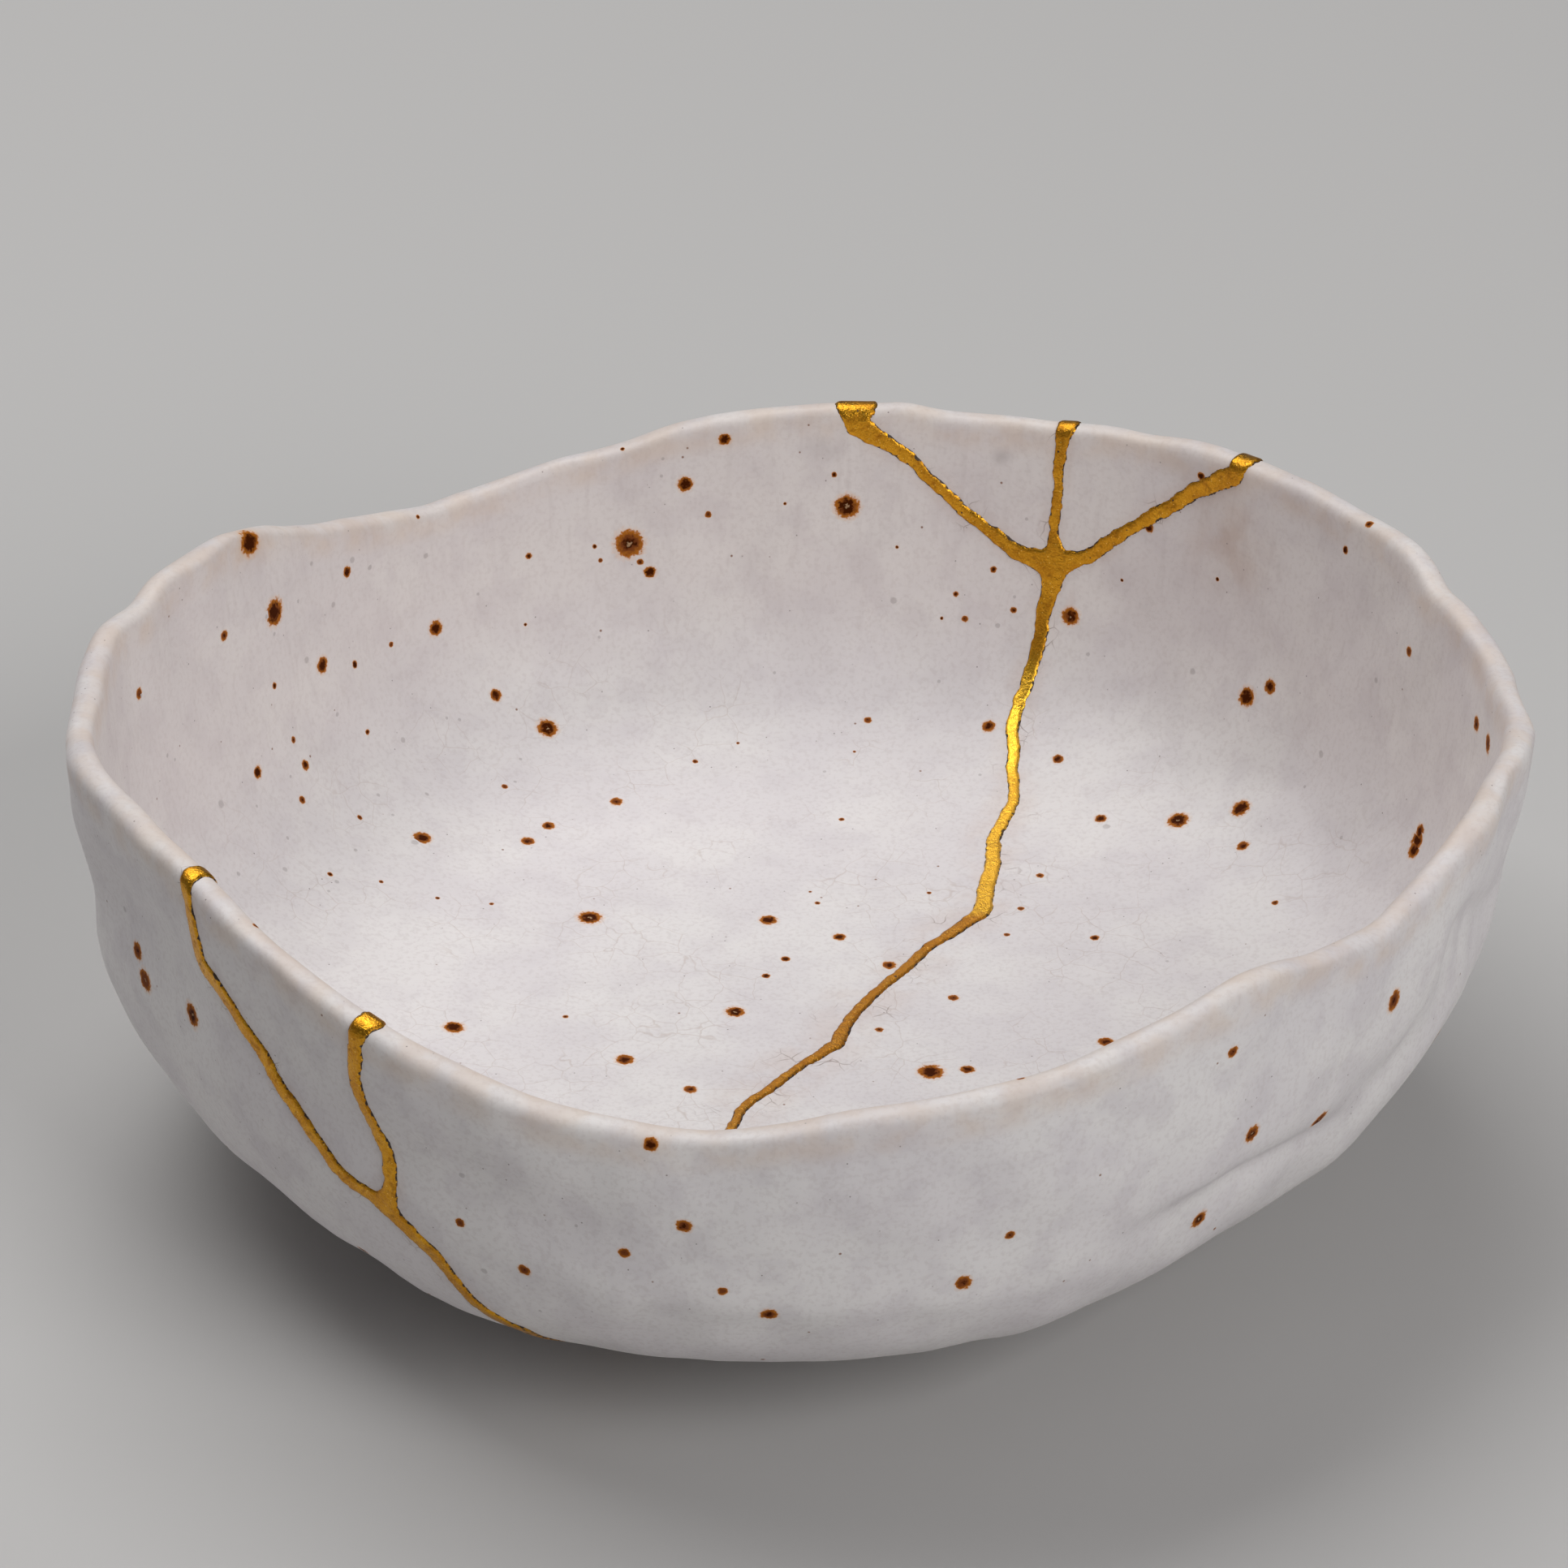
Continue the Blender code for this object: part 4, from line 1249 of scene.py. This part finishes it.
roughness = glaze.noise(5, 2, seed=11) * 0.20 + 0.34 + rim_wear * 0.06
roughness = roughness * (1 - bare) + bare * 0.85
glaze.shader.inputs["Specular IOR Level"].default_value = 0.32
relief = glaze.noise(2.2, 1, seed=12) * 0.05 + sand * 0.006
bump = {"Height": relief - bare * 0.05, "Strength": 0.9, "Distance": 0.001}
normal = glaze.add("ShaderNodeBump", {}, bump)
glaze.feed(glaze.shader.inputs["Base Color"], colour)
glaze.feed(glaze.shader.inputs["Roughness"], roughness)
glaze.feed(glaze.shader.inputs["Normal"], normal)

# The iron's crust is matt and reflects next to nothing, so it has a shader of its own
iron = {"Base Color": colour, "Roughness": 0.6, "Specular IOR Level": 0.03, "Normal": normal}
crust = glaze.add("ShaderNodeBsdfPrincipled", {}, iron)
glassy = Value(glaze, glaze.shader.outputs[0])
surface = glaze.add("ShaderNodeMixShader", {}, {0: ring, 1: glassy, 2: crust})
glaze.feed(glaze.tree.nodes["Material Output"].inputs["Surface"], surface)
for piece in sherds.values():
    piece.data.materials.append(glaze.material)
print("glaze nodes:", len(glaze.tree.nodes))

# %% [markdown]
# ## The gold
#
# Gold powder is dusted on lacquer while it is tacky, then rubbed with silk. It is metal all
# over, a little grainy, and more orange where the powder lies thin. Bright flecks stand out of
# it. Its colour is painted brighter at the bend between floor and wall, a painted highlight where
# it mirrors the top light, and painted a duller brown on the floor in front of that, a painted
# shade where it mirrors dim surroundings. Along its edges the dark lacquer shows as a broken
# outline, with knots where it ran out over the glaze, and small nicks let it show in the middle.

# %% Gold
gold = Finish("gold_powder_on_lacquer")
from_edge = gold.stored("from_edge") * 1000
thin = gold.between(gold.noise(2.0, 3, seed=1), 0.38, 0.66)
grain = gold.between(gold.noise(0.16, 3, seed=2), 0.34, 0.66)
rubbed = gold.between(gold.noise(0.55, 3, seed=7), 0.52, 0.70)
fleck = 1 - gold.between(gold.cells(0.40), 0.06, 0.18)
edge_noise = gold.noise(0.45, 3, seed=3)
knots = gold.between(gold.noise(1.6, 2, seed=6), 0.58, 0.70)
lacquer = 1 - gold.between(from_edge + edge_noise * 0.60 - knots * 0.10, 0.29, 0.37)
nick_gap = gold.cells(1.4) + gold.noise(0.3, 2, seed=4) * 0.12
nicks = 1 - gold.between(nick_gap, 0.115, 0.145)
dark = gold.maths("MAXIMUM", lacquer, nicks)

_, northward, height = gold.parts(gold.place)
behind = gold.between(northward, 18.6, 20.0)
on_inside = gold.stored("is_inside")
# Painted highlight: the gold's colour is brighter where the bend mirrors the top softbox
painted_bright_bend = behind * on_inside * (1 - gold.between(height, 14.5, 19))
# Painted shade: the gold's colour is duller on the floor in front, where it mirrors dim surroundings
painted_dull_front = (1 - behind) * on_inside * (1 - gold.between(height, 16, 22))

metal = gold.mix(thin * 0.70, (0.66, 0.305, 0.018), (0.50, 0.195, 0.012))
metal = gold.mix(grain * 0.45, metal, (0.84, 0.45, 0.040))
metal = gold.mix(rubbed * 0.45, metal, (0.26, 0.090, 0.010))
# The painted highlight at the bend and the painted shade in front, mixed into the metal
metal = gold.mix(painted_bright_bend * 0.80, metal, (1.0, 0.58, 0.055))
metal = gold.mix(painted_dull_front * 0.60, metal, (0.40, 0.155, 0.026))
metal = gold.mix(fleck * 0.70, metal, (1.0, 0.70, 0.18))
metal = gold.mix(dark * 0.96, metal, srgb(30, 15, 8))
gold_relief = grain * 0.016 + gold.noise(0.6, 2, seed=5) * 0.07
bump = {"Height": gold_relief, "Strength": 0.9, "Distance": 0.001}
gold.feed(gold.shader.inputs["Base Color"], metal)
gold.feed(gold.shader.inputs["Metallic"], 1 - dark * 0.95)
gold_roughness = 0.27 + thin * 0.12 + rubbed * 0.12 + painted_dull_front * 0.12 + dark * 0.1
gold.feed(gold.shader.inputs["Roughness"], gold_roughness)
gold.feed(gold.shader.inputs["Normal"], gold.add("ShaderNodeBump", {}, bump))
gold_piece.data.materials.append(gold.material)
print("gold nodes:", len(gold.tree.nodes))


# %% [markdown]
# ## Stage and light
#
# One broad soft light hangs behind and above the bowl. The gold tells where: the seam shines on
# the floor and on the rim, where the metal mirrors that light, and it is a dull ochre on the back
# wall, where it mirrors the bowl itself. A weaker soft light from the right lifts the front. The
# view transform is the plain one, so a colour that is mixed for the glaze is the colour that shows.

# %% Floor, background and lights
def plain_surface(name, colour, roughness):
    """A plain finish for the stage."""
    made = bpy.data.materials.new(name)
    made.use_nodes = True
    shader = made.node_tree.nodes["Principled BSDF"]
    shader.inputs["Base Color"].default_value = (*colour, 1)
    shader.inputs["Roughness"].default_value = roughness
    return made


floor_mesh = bpy.data.meshes.new("floor")
floor_mesh.from_pydata([(-3, -3, 0), (3, -3, 0), (3, 3, 0), (-3, 3, 0)], [], [(0, 1, 2, 3)])
floor_mesh.materials.append(plain_surface("pale_floor", (0.56, 0.55, 0.54), 0.8))
floor = bpy.data.objects.new("floor", floor_mesh)
bpy.context.scene.collection.objects.link(floor)

world = bpy.data.worlds.new("studio")
world.use_nodes = True
world.node_tree.nodes["Background"].inputs["Color"].default_value = (0.80, 0.80, 0.82, 1)
world.node_tree.nodes["Background"].inputs["Strength"].default_value = 0.15
bpy.context.scene.world = world
bpy.context.scene.view_settings.view_transform = "Standard"


def soft_light(name, place, aim, width, depth, power):
    """A rectangular area light at a place, facing another."""
    data = bpy.data.lights.new(name, "AREA")
    data.shape = "RECTANGLE"
    data.size, data.size_y = width, depth
    data.energy = power
    light = bpy.data.objects.new(name, data)
    light.location = place
    light.rotation_euler = (Vector(aim) - Vector(place)).to_track_quat("-Z", "Y").to_euler()
    bpy.context.scene.collection.objects.link(light)
    return light


MIDDLE = (0, 0, 0.02)
soft_light("top_softbox", (-0.23, 0.28, 0.80), MIDDLE, 0.8, 0.55, 5.02)
soft_light("right_fill", (0.55, -0.60, 0.55), MIDDLE, 0.5, 0.5, 4.1)

# %% [markdown]
# ## Dressing the pieces
#
# Each sherd takes the place of its CAD solid, and the seam takes that of the gold. The solids
# stay in the model for weight and collision. Nothing here moves, because the mend has made one
# rigid bowl of six pieces, so all of them ride on the root body.

# %% Riding and replacing
for name, piece in sherds.items():
    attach(piece, "root")
    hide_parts(name)
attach(gold_piece, "root")
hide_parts("gold_seam")
print("dressed:", len(sherds), "sherds and the seam")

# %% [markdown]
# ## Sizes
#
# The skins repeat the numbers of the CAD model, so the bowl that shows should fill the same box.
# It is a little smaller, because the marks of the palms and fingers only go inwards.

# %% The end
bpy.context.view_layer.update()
